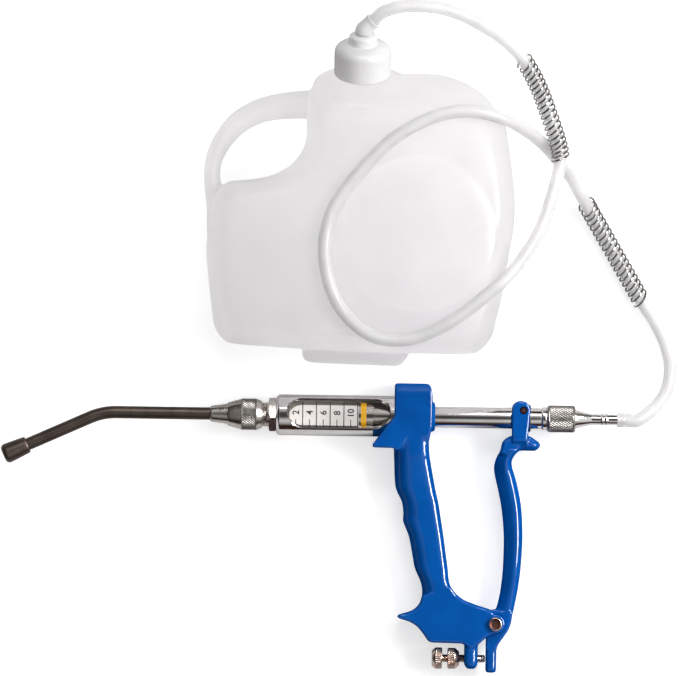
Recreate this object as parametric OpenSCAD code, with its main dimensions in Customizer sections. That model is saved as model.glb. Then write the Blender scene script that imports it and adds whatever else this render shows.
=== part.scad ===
// Livestock drencher: a drench gun with a fixed dose, its hose and its shoulder can,
// laid out flat. The origin is the middle of the can's flat back, on the surface it lies on.
// X runs to the right, Y towards the can's mouth and Z up from the surface.

/* [Barrel] */
// Outside diameter of the chromed barrel
barrel_od = 25.4; // [24.6:0.1:26]
// Wall of the barrel
barrel_wall = 2.2; // [1.8:0.1:2.4]
// Length of barrel in front of the housing
barrel_out = 73.3; // [70:0.1:80]
// Length of barrel inside the housing
barrel_in = 19; // [17:0.5:20]
// Bore of the glass cylinder
glass_bore = 17.25; // [16.5:0.05:17.6]
// Wall of the glass cylinder
glass_wall = 1.6; // [1.3:0.1:1.6]
// Piston travel for one full dose
dose_stroke = 42.8; // [36:0.1:43]
// Length of the window in the barrel
window_len = 63.4; // [54:0.2:64]
// Width of the window in the barrel
window_w = 19; // [16:0.5:20]
// Roll of the window about the barrel
window_roll = 12; // [0:1:20]

/* [Nozzle] */
// Outside diameter of the nozzle pipe
pipe_od = 7.7; // [7:0.1:8]
// Bore of the nozzle pipe
pipe_bore = 5.4; // [4.5:0.1:5.6]
// Pipe from the front of its ferrule to the corner of its bend
pipe_straight = 66.9; // [55:0.1:80]
// Pipe from the corner of its bend to the back of the tip
pipe_drop = 50.7; // [40:0.1:60]
// Angle of the bend
pipe_bend = 24.3; // [15:0.1:35]
// Radius of the bend
pipe_bend_r = 40; // [30:1:50]
// Length of the rounded tip
tip_len = 16.4; // [14:0.1:18]
// Largest diameter of the tip
tip_d = 12.2; // [11.6:0.1:13]
// Length of the knurled nozzle nut
nozzle_nut_len = 21.4; // [21:0.1:23]
// Diameter of the knurled band of the nozzle nut
nozzle_nut_d = 19.5; // [19:0.1:21]
// Length of the ferrule in front of the nut
ferrule_out = 10.5; // [8:0.1:14]
// Diameter of the threaded outlet neck
neck_thread_d = 15.4; // [15:0.1:15.6]

/* [Grip] */
// Length of the housing along the barrel
housing_len = 23.6; // [23:0.1:25]
// Width of the housing across the barrel
housing_w = 29; // [28.6:0.1:30]
// Height of the housing above the barrel axis
housing_top = 20.6; // [19:0.1:22]
// Drop from the barrel axis to the bottom of the grip frame
grip_drop = 140; // [130:0.5:150]
// Reach from the front of the housing to the lever pivot
grip_reach = 64.5; // [63:0.5:66]
// Width of the grip where it is held
grip_w = 22; // [20:0.5:24]
// Width of the frame at its lower end
frame_w = 23; // [22.6:0.1:24]
// Diameter of the lever pivot pin
pivot_d = 5; // [4.6:0.1:5.4]

/* [Lever] */
// Width of the lever where it is squeezed
lever_w = 16; // [14:0.5:18]
// Width of the lever's foot between the cheeks of the frame
lever_foot_w = 12.6; // [11.6:0.1:13]
// Thickness of each arm of the fork
fork_arm_t = 3.6; // [3:0.1:4]
// Diameter of the trunnion pins that carry the fork
trunnion_d = 4.5; // [4:0.1:4.8]
// Height of the trunnion pins above the barrel axis
trunnion_rise = 5; // [4:0.1:5.4]

/* [Plunger] */
// Outside diameter of the plunger tube
plunger_od = 13; // [12.4:0.1:13.2]
// Bore of the plunger tube
plunger_bore = 5; // [4.4:0.1:5.2]
// Plunger tube left bare between the yoke collar and the coupling
plunger_bare = 6.3; // [5:0.1:11]
// Width of the yoke collar between the fork's arms
collar_w = 17.2; // [17:0.1:17.6]
// Length of the yoke collar
collar_len = 10; // [9:0.1:11]
// Diameter of the knurled coupling nut
coupling_d = 16.7; // [16.4:0.1:18]
// Length of the knurled coupling nut
coupling_len = 17.4; // [16.5:0.1:19]
// Length of the hose barb behind its cone
barb_len = 20.8; // [16:0.1:24]
// Diameter of the hose barb
barb_d = 6.6; // [6:0.1:7]

/* [Dose screw] */
// Diameter of the dose screw
screw_d = 5; // [4.6:0.1:5.4]
// Distance from the dose screw to the lever pivot
screw_drop = 21.8; // [21:0.1:23]
// Diameter of the dose knob
knob_d = 13.3; // [12:0.1:14]
// Thickness of the dose knob
knob_t = 6.4; // [5:0.1:8]
// Diameter of the lock nut
lock_nut_d = 13; // [12:0.1:14]
// Thickness of the lock nut
lock_nut_t = 7.2; // [6:0.1:8]

/* [Can] */
// Width of the can
can_w = 190; // [186:1:196]
// Height of the can's body
can_h = 174; // [172:1:178]
// Depth of the can
can_d = 82; // [80:0.5:83]
// Wall of the can
can_wall = 2.5; // [2:0.1:3]
// Radius of the tower that carries the neck
tower_r = 30.8; // [30:0.1:31.4]
// Lean of the neck towards the front
neck_tilt = 25; // [22:1:28]
// Radius of the can's threaded neck
neck_r = 15; // [14.4:0.1:15.2]
// Radius of the screw cap
cap_r = 17.6; // [17.4:0.1:19]

/* [Hose] */
// Outside diameter of the hose
hose_d = 8; // [7.6:0.1:8]
// Wire of the two guard springs on the hose
guard_wire = 1; // [0.8:0.05:1.1]
// Turns of the upper guard spring
guard_upper_turns = 20; // [16:1:22]
// Turns of the lower guard spring
guard_lower_turns = 19; // [16:1:22]

/* [Hidden] */

// Clearances that all the pieces share
fit_gap = 0.02;
run_gap = 0.05;
face_gap = 0.3;
overrun = 1;

// Colours as the photograph shows them
blue_enamel = "#0a5cb4";
chrome = "#c9c6c8";
nickel = "#8f8780";
steel = "#a9a29c";
glass_tint = "#dfe3e4";
rubber_black = "#26262a";
seal_yellow = "#c8941e";
can_white = "#e6e4e6";
hose_grey = "#d2d2d0";

// Where the gun lies: its own origin is the barrel axis at the housing's front face
gun_x = 22.1;
gun_y = -121.3;
gun_z = housing_w / 2;

// Barrel, glass and outlet head, from the front backwards
barrel_r = barrel_od / 2;
barrel_ir = barrel_r - barrel_wall;
barrel_front = -barrel_out;
barrel_bevel = 1.7;
spigot_len = 4;
gasket_t = 1.2;
guide_len = 5.8;
glass_r = glass_bore / 2 + glass_wall;
glass_front = barrel_front + spigot_len + gasket_t;
glass_rear = barrel_in - guide_len - gasket_t;
window_back = 2.9;
window_x = -window_back - window_len;
hex_r = 11;
hex_t = 4.6;
hex_roll = 10;
hex_front = barrel_front - hex_t;
neck_show = 4.3;
neck_in = 8.8;
neck_front = hex_front - neck_show - neck_in;
neck_thread_r = neck_thread_d / 2;
outlet_seat_r = 2.2;
outlet_ball_r = 3.2;
outlet_chamber_r = 4.2;
outlet_seat_depth = 2.7;
outlet_seat_x = barrel_front - outlet_seat_depth;
outlet_ball_x = outlet_seat_x - run_gap
    - sqrt(outlet_ball_r * outlet_ball_r - outlet_seat_r * outlet_seat_r);
valve_wire = 0.6;
valve_turns = 3;

// Nozzle, from its nut forwards
nut_rear = hex_front - neck_show;
nut_front = nut_rear - nozzle_nut_len;
nut_r = nozzle_nut_d / 2;
nut_bevel_len = 3.4;
nut_bevel_r = 8.4;
nut_knurl_len = 9.3;
nut_lip_r = 6.9;
nut_lip_len = 6.4;
ferrule_r = 6.25;
ferrule_tip_r = 4.95;
ferrule_flange_r = neck_thread_r - fit_gap;
washer_t = 1.5;
ferrule_rear = neck_front - washer_t;
ferrule_front = nut_front - ferrule_out;
nut_shoulder = nut_front + nut_lip_len;
pipe_r = pipe_od / 2;
pipe_ir = pipe_bore / 2;
pipe_seat = 3;
pipe_rear = ferrule_rear - pipe_seat;
bend_x = ferrule_front - pipe_straight;
bend_run = pipe_bend_r * tan(pipe_bend / 2);
tip_r = tip_d / 2;
tip_back_r = 5.15;
tip_bore_r = 2.5;
tip_socket = 8;
tip_round = 2.6;

// Housing, grip and lower frame
housing_half = housing_w / 2;
housing_corner = 5;
boss_len = 1.7;
boss_r = 9;
frame_half = frame_w / 2;
pivot_x = grip_reach;
pivot_share = 0.912;
pivot_y = -pivot_share * grip_drop;
pivot_r = pivot_d / 2;
cheek_r = 6.1;
pin_head_r = 4.3;
pin_head_t = housing_half - frame_half;
foot_half = lever_foot_w / 2;
slot_half = foot_half + face_gap;
foot_r = 9;
slot_r = foot_r + 2 * face_gap;
grip_sides = 20;
grip_power = 2.6;

// Side view of the housing, in shares of its length and its height above the axis
housing_side_shares = [[0, 1], [0, 0.02], [-0.57, -0.86], [-0.56, -0.94], [-0.01, -0.95],
    [0.02, -1.3], [0.9, -1.3], [0.9, -0.85], [0.965, -0.44], [1, -0.3], [1, 0.62], [0.97, 0.86],
    [0.9, 1]];
// Grip, from its top down: drop, front and rear in shares of drop and reach, width share
grip_section_shares = [[0.12, 0.0, 0.33, 1.1], [0.2, 0.004, 0.355, 1.04],
    [0.29, 0.014, 0.392, 1], [0.33, 0.034, 0.41, 1], [0.38, 0.085, 0.436, 1],
    [0.43, 0.1, 0.455, 1], [0.465, 0.1, 0.468, 1], [0.53, 0.156, 0.491, 1],
    [0.61, 0.192, 0.516, 1], [0.67, 0.218, 0.536, 1], [0.73, 0.275, 0.552, 1],
    [0.78, 0.293, 0.6, 1], [0.83, 0.275, 0.66, 1]];
// Side view of the lower frame, in shares of reach and drop
tab_share = 0.707;
frame_side_shares = [[0.29, -0.79], [0.279, -0.82], [0.237, -0.848], [0.177, -0.864],
    [0.082, -0.876], [0.047, -0.886], [0.084, -0.896], [0.172, -0.906], [0.254, -0.929],
    [0.313, -0.963], [0.363, -0.998], [0.7, -1.001], [tab_share, -1.1], [0.73, -1.113],
    [0.815, -1.113], [0.836, -1.1], [0.831, -1.008], [0.924, -0.969], [1.0, -0.955],
    [1.0, -0.869], [0.95, -0.849], [0.817, -0.831], [0.691, -0.809], [0.609, -0.779],
    [0.555, -0.74]];

// Lever, in shares of its height from the pivot to the trunnion pins
tail_share = 0.043;
lever_h = trunnion_rise - pivot_y;
slot_back = tail_share * lever_h + 2 * face_gap;
lever_sides = 16;
lever_power = 2.4;
// Squeezed length from the top down: height, inner edge, outer edge, width share
lever_section_shares = [[0.812, 0.016, 0.098, 1.52], [0.79, 0, 0.08, 1.46],
    [0.762, -0.011, 0.066, 1.36], [0.73, -0.017, 0.069, 1.22], [0.687, -0.011, 0.083, 1.1],
    [0.621, 0.005, 0.1, 1.04], [0.54, 0.021, 0.1145, 1], [0.438, 0.032, 0.121, 1],
    [0.35, 0.034, 0.1205, 1], [0.247, 0.031, 0.114, 1], [0.167, 0.023, 0.104, 0.97],
    [0.125, 0.016, 0.097, 0.92]];
// Foot between the cheeks, with its tail
lever_foot_shares = [[0.014, 0.14], [0.095, 0.14], [0.083, 0.046], [0.073, -0.004],
    [0.041, -0.061], [0.013, -0.099], [0.0075, -0.127], [0.0075, -0.222], [-0.004, -0.229],
    [-0.034, -0.229], [-tail_share, -0.222], [-tail_share, -0.06], [-0.03, 0.05]];
// Yoke at the root of the fork, with its thumb spur
lever_yoke_shares = [[0.002, 0.79], [0.078, 0.79], [0.115, 0.815], [0.177, 0.81],
    [0.198, 0.832], [0.196, 0.848], [0.148, 0.882], [0.06, 0.882], [0.02, 0.855],
    [0.014, 0.815]];
// Each arm of the fork, up to its round end
lever_arm_shares = [[0.05, 0.84], [0.148, 0.84], [0.15, 1.0], [0.062, 1.0]];
arm_gap_share = 0.882;
arm_round_share = 0.106;
arm_round_r = 5.85;
arm_lead = 2.1;
trunnion_dx = 15.5;
trunnion_x = pivot_x + trunnion_dx;
plunger_out = trunnion_x + collar_len / 2 + plunger_bare;
trunnion_r = trunnion_d / 2;
rest_angle = atan(trunnion_dx / lever_h);
end_angle = atan((dose_stroke - trunnion_dx) / lever_h);
pin_slack = 0.25;
slot_top_len = lever_h / cos(end_angle) + pin_slack;
slot_low_len = lever_h - pin_slack;
arm_in = collar_w / 2 + face_gap;
arm_out = arm_in + fork_arm_t;
lever_coil_r = 5.6;
lever_coil_wire = 1.1;
lever_coil_turns = 2;
coil_pocket_r = 7.2;
coil_pocket_depth = 6.6;

// Piston and plunger, from the front backwards
piston_gap = 3.1;
piston_front = glass_front + piston_gap + dose_stroke;
piston_nut_t = 1.5;
piston_nut_lip = 0.8;
seal_t = 3.3;
piston_ring_t = 4.4;
piston_r = glass_bore / 2 - 2 * face_gap;
piston_stem_r = 5;
inlet_chamber_r = 3.3;
inlet_seat_r = 1.8;
inlet_ball_r = 2.6;
inlet_hole_r = 1.6;
seal_front = piston_front + piston_nut_t;
ring_front = seal_front + seal_t;
plunger_front = ring_front + piston_ring_t;
plunger_r = plunger_od / 2;
plunger_ir = plunger_bore / 2;
stem_fit_r = 4.2;
stem_fit_len = 6.5;
inlet_ball_x = plunger_front - run_gap
    - sqrt(inlet_ball_r * inlet_ball_r - inlet_seat_r * inlet_seat_r);
collar_cover = 1.3;
collar_top = trunnion_rise + trunnion_r + collar_cover;
collar_r = collar_w / 2;
pin_seat = 2.3;
adaptor_flange_r = 7.2;
adaptor_flange_t = 3.2;
coupling_r = coupling_d / 2;
coupling_front = plunger_out + adaptor_flange_t + face_gap;
coupling_rear = coupling_front + coupling_len;
coupling_thread_r = 6.9;
coupling_lip_len = 6.5;
coupling_lip_r = 6.3;
connector_flange_t = 1.4;
coupling_seat = coupling_rear - coupling_lip_len;
connector_front = coupling_seat - face_gap - connector_flange_t;
adaptor_rear = connector_front - washer_t;
connector_cone = 10.3;
barb_r = barb_d / 2;
barb_front = coupling_rear + connector_cone;
barb_rear = barb_front + barb_len;
barb_ring_r = 3.7;
barb_ring_len = 4.4;
barb_ring_shares = [0.27, 0.788];
barb_bore_r = 2.1;

// Dose screw
screw_y = pivot_y - screw_drop;
screw_r = screw_d / 2;
tail_x = pivot_x - tail_share * lever_h;
tail_gap = 1.4;
screw_tip = tail_x - tail_gap;
knob_front = 25.5;
knob_rear = knob_front + knob_t;
lock_nut_gap = 3.2;
lock_nut_rear = tab_share * grip_reach - lock_nut_gap;
lock_nut_front = lock_nut_rear - lock_nut_t;
turned_bevel = 0.9;

// Can: its outline in shares of width and height, anticlockwise, each point with its place
// on the edge of the flat front and back
can_outline_shares = [[0.137, 0.523, 0.126, 0.264], [0, 0.512, 0, 0.259],
    [-0.137, 0.494, -0.074, 0.253], [-0.179, 0.448, -0.103, 0.241],
    [-0.184, 0.356, -0.116, 0.218], [-0.19, 0.264, -0.129, 0.19],
    [-0.232, 0.195, -0.174, 0.126], [-0.295, 0.155, -0.263, 0.089],
    [-0.368, 0.138, -0.347, 0.072], [-0.442, 0.126, -0.4, 0.052],
    [-0.484, 0.069, -0.421, 0.023], [-0.495, -0.011, -0.429, -0.023],
    [-0.505, -0.103, -0.437, -0.103], [-0.5, -0.184, -0.432, -0.178],
    [-0.487, -0.299, -0.42, -0.287], [-0.474, -0.385, -0.405, -0.335],
    [-0.442, -0.434, -0.388, -0.362], [-0.395, -0.448, -0.35, -0.378],
    [-0.205, -0.46, -0.205, -0.385], [0.158, -0.471, 0.158, -0.397],
    [0.347, -0.471, 0.312, -0.397], [0.395, -0.454, 0.352, -0.382],
    [0.429, -0.408, 0.374, -0.352], [0.442, -0.351, 0.382, -0.328],
    [0.4605, -0.264, 0.395, -0.247], [0.4815, -0.115, 0.413, -0.106],
    [0.496, -0.011, 0.426, -0.012], [0.497, 0.086, 0.426, 0.058],
    [0.484, 0.213, 0.41, 0.138], [0.466, 0.333, 0.384, 0.201],
    [0.442, 0.385, 0.363, 0.224], [0.379, 0.463, 0.316, 0.25],
    [0.305, 0.504, 0.268, 0.262], [0.232, 0.523, 0.21, 0.266]];
can_steps = 2;
can_split_share = -0.242;
can_split_x = can_split_share * can_w;
can_back_angles = [-90, -62, -40, -20, 0];
can_front_angles = [0, 20, 40, 62, 90];
can_outer_angles = [-90, -62, -40, -20, 0, 20, 40, 62, 90];
can_inner_angles = [-90, -50, -22, 22, 50, 90];
can_power = 2.2;
can_mid = can_d / 2;
can_hub_r = 30;
// Handle from the tower round to the left side: place in shares, width and depth shares
handle_path_shares = [[-0.13, 0.408, 1.02, 1.1], [-0.21, 0.406, 0.96, 1.05],
    [-0.29, 0.396, 0.88, 1], [-0.35, 0.376, 0.82, 1], [-0.41, 0.336, 0.76, 1],
    [-0.452, 0.282, 0.68, 1], [-0.48, 0.222, 0.6, 0.96], [-0.49, 0.168, 0.56, 0.92],
    [-0.487, 0.11, 0.58, 0.92], [-0.478, 0.04, 0.6, 0.92]];
handle_w = 18;
handle_d = 24;
handle_sides = 14;
lug_shares = [[0.158, -0.455], [0.158, -0.48], [0.131, -0.518], [-0.157, -0.51],
    [-0.184, -0.499], [-0.19, -0.455]];
lug_d = 22;
panel_x_share = 0.153;
panel_y_share = -0.063;
panel_r = 46;
panel_rise = 5;
panel_ball_r = (panel_r * panel_r + panel_rise * panel_rise) / (2 * panel_rise);
neck_root_x = -1;
neck_drop = 27.1;
neck_root_y = can_outline_shares[1][1] * can_h - neck_drop;
tower_sink = 12;
tower_len = 23.6;
tower_cone = 7.6;
neck_len = 13;
neck_wall = 2.6;
neck_base = tower_len + tower_cone;
neck_top = neck_base + neck_len;
cap_base = neck_base + face_gap;
cap_gasket_t = 1.2;
cap_ceiling = neck_top + cap_gasket_t;
cap_skirt_len = 14.5;
cap_skirt_top = cap_base + cap_skirt_len;
cap_dome_r = 9;
cap_dome_len = 6;
cap_dome_top = cap_skirt_top + cap_dome_len;
cap_boss_r = 8.8;
cap_boss_len = 6;
cap_top = cap_dome_top + cap_boss_len;
spout_r = 4.8;
spout_stem_r = 4.2;
spout_knuckle_r = 5.6;
spout_rise = 3;
spout_centre = cap_top + spout_rise;
spout_angle = 45;
spout_len = 9;
spout_flange_r = 7;
spout_flange_t = 1.2;
spout_bore_r = 2.4;
neck_axis = [0, cos(neck_tilt), sin(neck_tilt)];
neck_root = [neck_root_x, neck_root_y, can_mid];
spout_dir = cos(spout_angle) * neck_axis + [sin(spout_angle), 0, 0];
spout_end = neck_root + spout_centre * neck_axis + spout_len * spout_dir;

// Route of the hose from the cap's spout to the gun's barb
hose_r = hose_d / 2;
hose_lead = 8;
hose_points = [[21, 131.5, 72.5], [34, 132.5, 70], [48, 131, 66], [61, 127, 61.5], [73, 121, 58],
    [85, 113.5, 55.5], [95, 104.5, 53.5], [103, 93, 52.5], [109, 81, 52], [114, 68, 52],
    [119, 54, 52.3], [122, 42, 53], [121, 31, 55.5], [117, 15, 61], [110, -5, 69],
    [101, -20, 76.5], [91, -33, 82.5], [78, -45, 86.6], [61, -58.5, 86.8], [47, -67, 86.5],
    [33, -72.5, 86.4], [19, -74, 86.3], [5, -70.5, 86.4], [-9, -59, 86.8], [-18, -44, 86.8],
    [-22.5, -25, 86.5], [-22, -8, 86.5], [-17, 8, 86.5], [-7, 23, 86.6], [6, 38, 86.8],
    [18, 49.5, 86.6], [31, 58, 86], [45, 64.5, 84.6], [59, 67.5, 82.6], [73, 67, 79.4],
    [87, 63.5, 73], [100, 57, 61], [110, 50, 47.5], [119, 41, 35.5], [128, 30.5, 24],
    [135, 19, 15], [142, 7.5, 9], [150, -6, 6.4], [158, -19.5, 6.1], [166, -33, 6.1],
    [174, -46.5, 6.1], [183, -60, 5], [189.5, -73, 4.5], [193, -87, 4.6], [191.5, -101, 6.2],
    [185, -112, 9.5]];
barb_end = [gun_x + barb_rear, gun_y, gun_z];
hose_route = concat([spout_end, spout_end + hose_lead * spout_dir], hose_points,
    [barb_end + [hose_lead, 0, 0], barb_end]);
hose_sides = 10;
guard_upper_span = [8.4, 13.2];
guard_lower_span = [42.6, 47];
hose_split = 49;
hose_joint_share = 0.03;
guard_gap = 0.75;
guard_r = hose_r + guard_gap + guard_wire / 2;
coil_rings = 8;
coil_sides = 6;
look = 0.01;

// Vectors, curves and lofts
function unit(v) = v / norm(v);

function curve(a, b, c, d, t) = (2 * b + (c - a) * t + (2 * a - 5 * b + 4 * c - d) * t * t
    + (3 * b - a - 3 * c + d) * t * t * t) / 2;

function spline_at(p, u) = let (n = len(p) - 1, i = max(0, min(floor(u), n - 1)))
    curve(p[max(i - 1, 0)], p[i], p[i + 1], p[min(i + 2, n)], u - i);

function ring_spline(p, steps) = let (n = len(p)) [for (i = [0:n - 1], s = [0:steps - 1])
    curve(p[(i + n - 1) % n], p[i], p[(i + 1) % n], p[(i + 2) % n], s / steps)];

function heading(p, u) = unit(spline_at(p, min(u + look, len(p) - 1))
    - spline_at(p, max(u - look, 0)));

function oval(a, b, power, sides) = [for (k = [0:sides - 1]) let (t = 360 * k / sides)
    [a * sign(cos(t)) * pow(abs(cos(t)), 2 / power),
     b * sign(sin(t)) * pow(abs(sin(t)), 2 / power)]];

module loft(rings) {
    n = len(rings[0]);
    last = len(rings) - 1;
    sides = [for (i = [0:last - 1], k = [0:n - 1]) let (a = i * n + k, b = i * n + (k + 1) % n)
        each [[a, a + n, b + n], [a, b + n, b]]];
    polyhedron([for (ring = rings) each ring],
        concat([[for (k = [0:n - 1]) k]], sides, [[for (k = [n - 1:-1:0]) last * n + k]]));
}

// Tube of one radius along part of a curve
function tube_ring(p, u, r, sides) = let (t = heading(p, u), e = unit(cross(t, [0, 0, 1])),
    f = cross(t, e)) [for (k = [0:sides - 1]) let (a = 360 * k / sides)
    spline_at(p, u) + r * (cos(a) * e + sin(a) * f)];

module tube_along(p, u0, u1, rings, r, sides)
    loft([for (i = [0:rings]) tube_ring(p, u0 + (u1 - u0) * i / rings, r, sides)]);

// Coil of wire wound about part of a curve
function coil_points(p, u0, u1, r, turns) = [for (i = [0:turns * coil_rings])
    let (u = u0 + (u1 - u0) * i / (turns * coil_rings), t = heading(p, u),
        e = unit(cross(t, [0, 0, 1])), f = cross(t, e), a = 360 * i / coil_rings)
    spline_at(p, u) + r * (cos(a) * e + sin(a) * f)];

function wire_ring(c, i, middle, r) = let (t = unit(c[min(i + 1, len(c) - 1)] - c[max(i - 1, 0)]),
    out = c[i] - middle, e = unit(out - t * (out * t)), f = cross(t, e))
    [for (k = [0:coil_sides - 1]) let (a = 360 * k / coil_sides)
    c[i] + r * (cos(a) * e + sin(a) * f)];

module coil_along(p, u0, u1, r, turns, wire) {
    c = coil_points(p, u0, u1, r, turns);
    last = len(c) - 1;
    loft([for (i = [0:last]) wire_ring(c, i, spline_at(p, u0 + (u1 - u0) * i / last), wire / 2)]);
}

// Least gap between one turn of a coil and the next, measured on the points of its wire
function coil_gap(p, u0, u1, r, turns, wire) = let (c = coil_points(p, u0, u1, r, turns))
    min([for (i = [0:len(c) - 1], j = [i + coil_rings - 3:min(i + coil_rings + 3, len(c) - 1)])
    norm(c[i] - c[j])]) - wire;

// Shapes about the X axis
module turned(profile) rotate([0, 90, 0]) rotate_extrude($fn = 96) polygon(profile);

module rod_x(x0, x1, r) translate([x0, 0, 0]) rotate([0, 90, 0]) cylinder(h = x1 - x0, r = r, $fn = 96);

module hole_x(x0, x1, r) rod_x(x0 - overrun, x1 + overrun, r);

module plate(half) translate([0, 0, -half]) linear_extrude(2 * half) children();

function scaled(shares, w, h) = [for (s = shares) [s[0] * w, s[1] * h]];

module gun() translate([gun_x, gun_y, gun_z]) children();

module at_pivot() translate([pivot_x, pivot_y, 0]) children();

module at_neck() translate(neck_root) rotate([neck_tilt - 90, 0, 0]) children();

// Grip frame: housing round the barrel, grip and the cheeks that hold the lever
module housing() {
    intersection() {
        plate(housing_half) polygon(scaled(housing_side_shares, housing_len, housing_top));
        union() {
            for (side = [-1, 1])
                translate([0, housing_top - housing_corner, side * (housing_half - housing_corner)])
                rod_x(-housing_len, 2 * housing_len, housing_corner);
            translate([-housing_len, -2 * housing_top, -housing_half])
                cube([3 * housing_len, 3 * housing_top - housing_corner, housing_w]);
            translate([-housing_len, 0, housing_corner - housing_half])
                cube([3 * housing_len, housing_top, housing_w - 2 * housing_corner]);
        }
    }
    rod_x(housing_len - overrun, housing_len + boss_len, boss_r);
}

module grip() loft([for (s = grip_section_shares) let (front = s[1] * grip_reach,
    rear = s[2] * grip_reach) [for (q = oval((rear - front) / 2, s[3] * grip_w / 2, grip_power,
    grip_sides)) [(front + rear) / 2 + q[0], -s[0] * grip_drop, q[1]]]]);

module lower_frame() {
    plate(frame_half) polygon(scaled(frame_side_shares, grip_reach, grip_drop));
    at_pivot() plate(frame_half) circle(cheek_r, $fn = 64);
}

module grip_frame() color(blue_enamel) gun() difference() {
    union() {
        housing();
        grip();
        lower_frame();
    }
    hole_x(-housing_len, barrel_in, barrel_r + fit_gap);
    hole_x(barrel_in, housing_len + boss_len, plunger_r + face_gap);
    at_pivot() {
        plate(slot_half) circle(slot_r, $fn = 64);
        translate([-slot_back, -grip_drop / 2, -slot_half])
            cube([grip_reach, grip_drop, 2 * slot_half]);
        plate(housing_half) circle(pivot_r + fit_gap, $fn = 64);
    }
    translate([0, screw_y, 0]) hole_x(knob_rear, screw_tip, screw_r + run_gap);
}

// Barrel with an obround window on both sides
module window_cut(half) rotate([-window_roll, 0, 0]) plate(half) {
    translate([window_x + window_w / 2, -window_w / 2])
        square([window_len - window_w, window_w]);
    translate([window_x + window_w / 2, 0]) circle(d = window_w, $fn = 64);
    translate([window_x + window_len - window_w / 2, 0]) circle(d = window_w, $fn = 64);
}

module barrel() color(chrome) gun() difference() {
    turned([[barrel_ir, barrel_front], [barrel_r - barrel_bevel, barrel_front],
        [barrel_r, barrel_front + barrel_bevel], [barrel_r, barrel_in], [barrel_ir, barrel_in]]);
    window_cut(barrel_od);
}

module tube_x(x0, x1, r, ir) turned([[ir, x0], [r, x0], [r, x1], [ir, x1]]);

module glass_cylinder() color(glass_tint, 0.4) gun()
    tube_x(glass_front, glass_rear, glass_r, glass_bore / 2);

module front_gasket() color(rubber_black) gun()
    tube_x(barrel_front + spigot_len, glass_front, glass_r, glass_bore / 2);

module rear_gasket() color(rubber_black) gun()
    tube_x(glass_rear, glass_rear + gasket_t, glass_r, glass_bore / 2);

module guide_bush() color(steel) gun()
    tube_x(barrel_in - guide_len, barrel_in, barrel_ir - fit_gap, plunger_r + run_gap);

module lever_pivot_pin() color(steel) gun() at_pivot() {
    plate(frame_half) circle(pivot_r, $fn = 64);
    for (side = [0, 1]) mirror([0, 0, side]) translate([0, 0, frame_half])
        rotate_extrude($fn = 64) polygon([[0, 0], [pin_head_r, 0],
            [pin_head_r, pin_head_t - turned_bevel], [pin_head_r - turned_bevel, pin_head_t],
            [0, pin_head_t]]);
}

// Return spring round the pivot pin, in a pocket of the lever's foot
lever_coil_axis = [[0, 0, 0], [coil_pocket_depth - 2 * lever_coil_wire, 0, 0]];

module lever_spring() color(steel) gun() at_pivot()
    translate([0, 0, slot_half - lever_coil_wire]) rotate([0, 90, 0])
    coil_along(lever_coil_axis, 0, 1, lever_coil_r, lever_coil_turns, lever_coil_wire);

// Outlet head: spigot in the barrel, hexagon, threaded neck and the valve's seat
module outlet_valve_body() color(nickel) gun() difference() {
    union() {
        rod_x(barrel_front, barrel_front + spigot_len, barrel_ir - fit_gap);
        translate([hex_front, 0, 0]) rotate([0, 90, 0]) rotate([0, 0, hex_roll])
            cylinder(h = hex_t, r = hex_r, $fn = 6);
        rod_x(neck_front, hex_front, neck_thread_r - run_gap);
    }
    hole_x(outlet_seat_x, barrel_front + spigot_len, outlet_seat_r);
    hole_x(neck_front, outlet_seat_x - overrun, outlet_chamber_r);
}

module ball(x, r) translate([x, 0, 0]) sphere(r, $fn = 48);

module outlet_valve_ball() color(steel) gun() ball(outlet_ball_x, outlet_ball_r);

outlet_coil_r = outlet_chamber_r - face_gap - valve_wire;
outlet_coil_axis = [[neck_front + valve_wire / 2 + fit_gap, 0, 0],
    [outlet_ball_x - outlet_ball_r, 0, 0]];

module outlet_valve_spring() color(steel) gun()
    coil_along(outlet_coil_axis, 0, 1, outlet_coil_r, valve_turns, valve_wire);

// Nozzle: ferrule, bent pipe and rounded tip
module nozzle_ferrule() color(nickel) gun() difference() {
    turned([[0, ferrule_front], [ferrule_tip_r, ferrule_front], [ferrule_r, nut_front],
        [ferrule_r, nut_shoulder + face_gap], [ferrule_flange_r, nut_shoulder + face_gap],
        [ferrule_flange_r, ferrule_rear], [0, ferrule_rear]]);
    hole_x(ferrule_front, pipe_rear - overrun, pipe_r + fit_gap);
    hole_x(pipe_rear, ferrule_rear, pipe_ir);
}

module nozzle_washer() color(rubber_black) gun()
    tube_x(ferrule_rear, neck_front, neck_thread_r - face_gap, pipe_ir);

module along_drop() translate([bend_x, 0, 0]) rotate([0, 0, pipe_bend]) children();

module pipe_shape(r, past) {
    rod_x(bend_x + bend_run, pipe_rear + past, r);
    translate([bend_x + bend_run, -pipe_bend_r, 0]) rotate([0, 0, 90])
        rotate_extrude(angle = pipe_bend, $fn = 180) translate([pipe_bend_r, 0]) circle(r, $fn = 48);
    along_drop() rod_x(-pipe_drop - tip_socket - past, -bend_run, r);
}

module nozzle_pipe() color(nickel) gun() difference() {
    pipe_shape(pipe_r, 0);
    pipe_shape(pipe_ir, overrun);
}

module nozzle_tip() color(nickel) gun() along_drop() translate([-pipe_drop, 0, 0]) difference() {
    turned([[0, -tip_len], [tip_r - tip_round, -tip_len],
        for (a = [15:15:90]) [tip_r - tip_round * (1 - sin(a)), tip_round * (1 - cos(a)) - tip_len],
        [tip_back_r, 0], [0, 0]]);
    hole_x(-tip_socket + overrun, 0, pipe_r + fit_gap);
    hole_x(-tip_len, -tip_socket, tip_bore_r);
}

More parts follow.
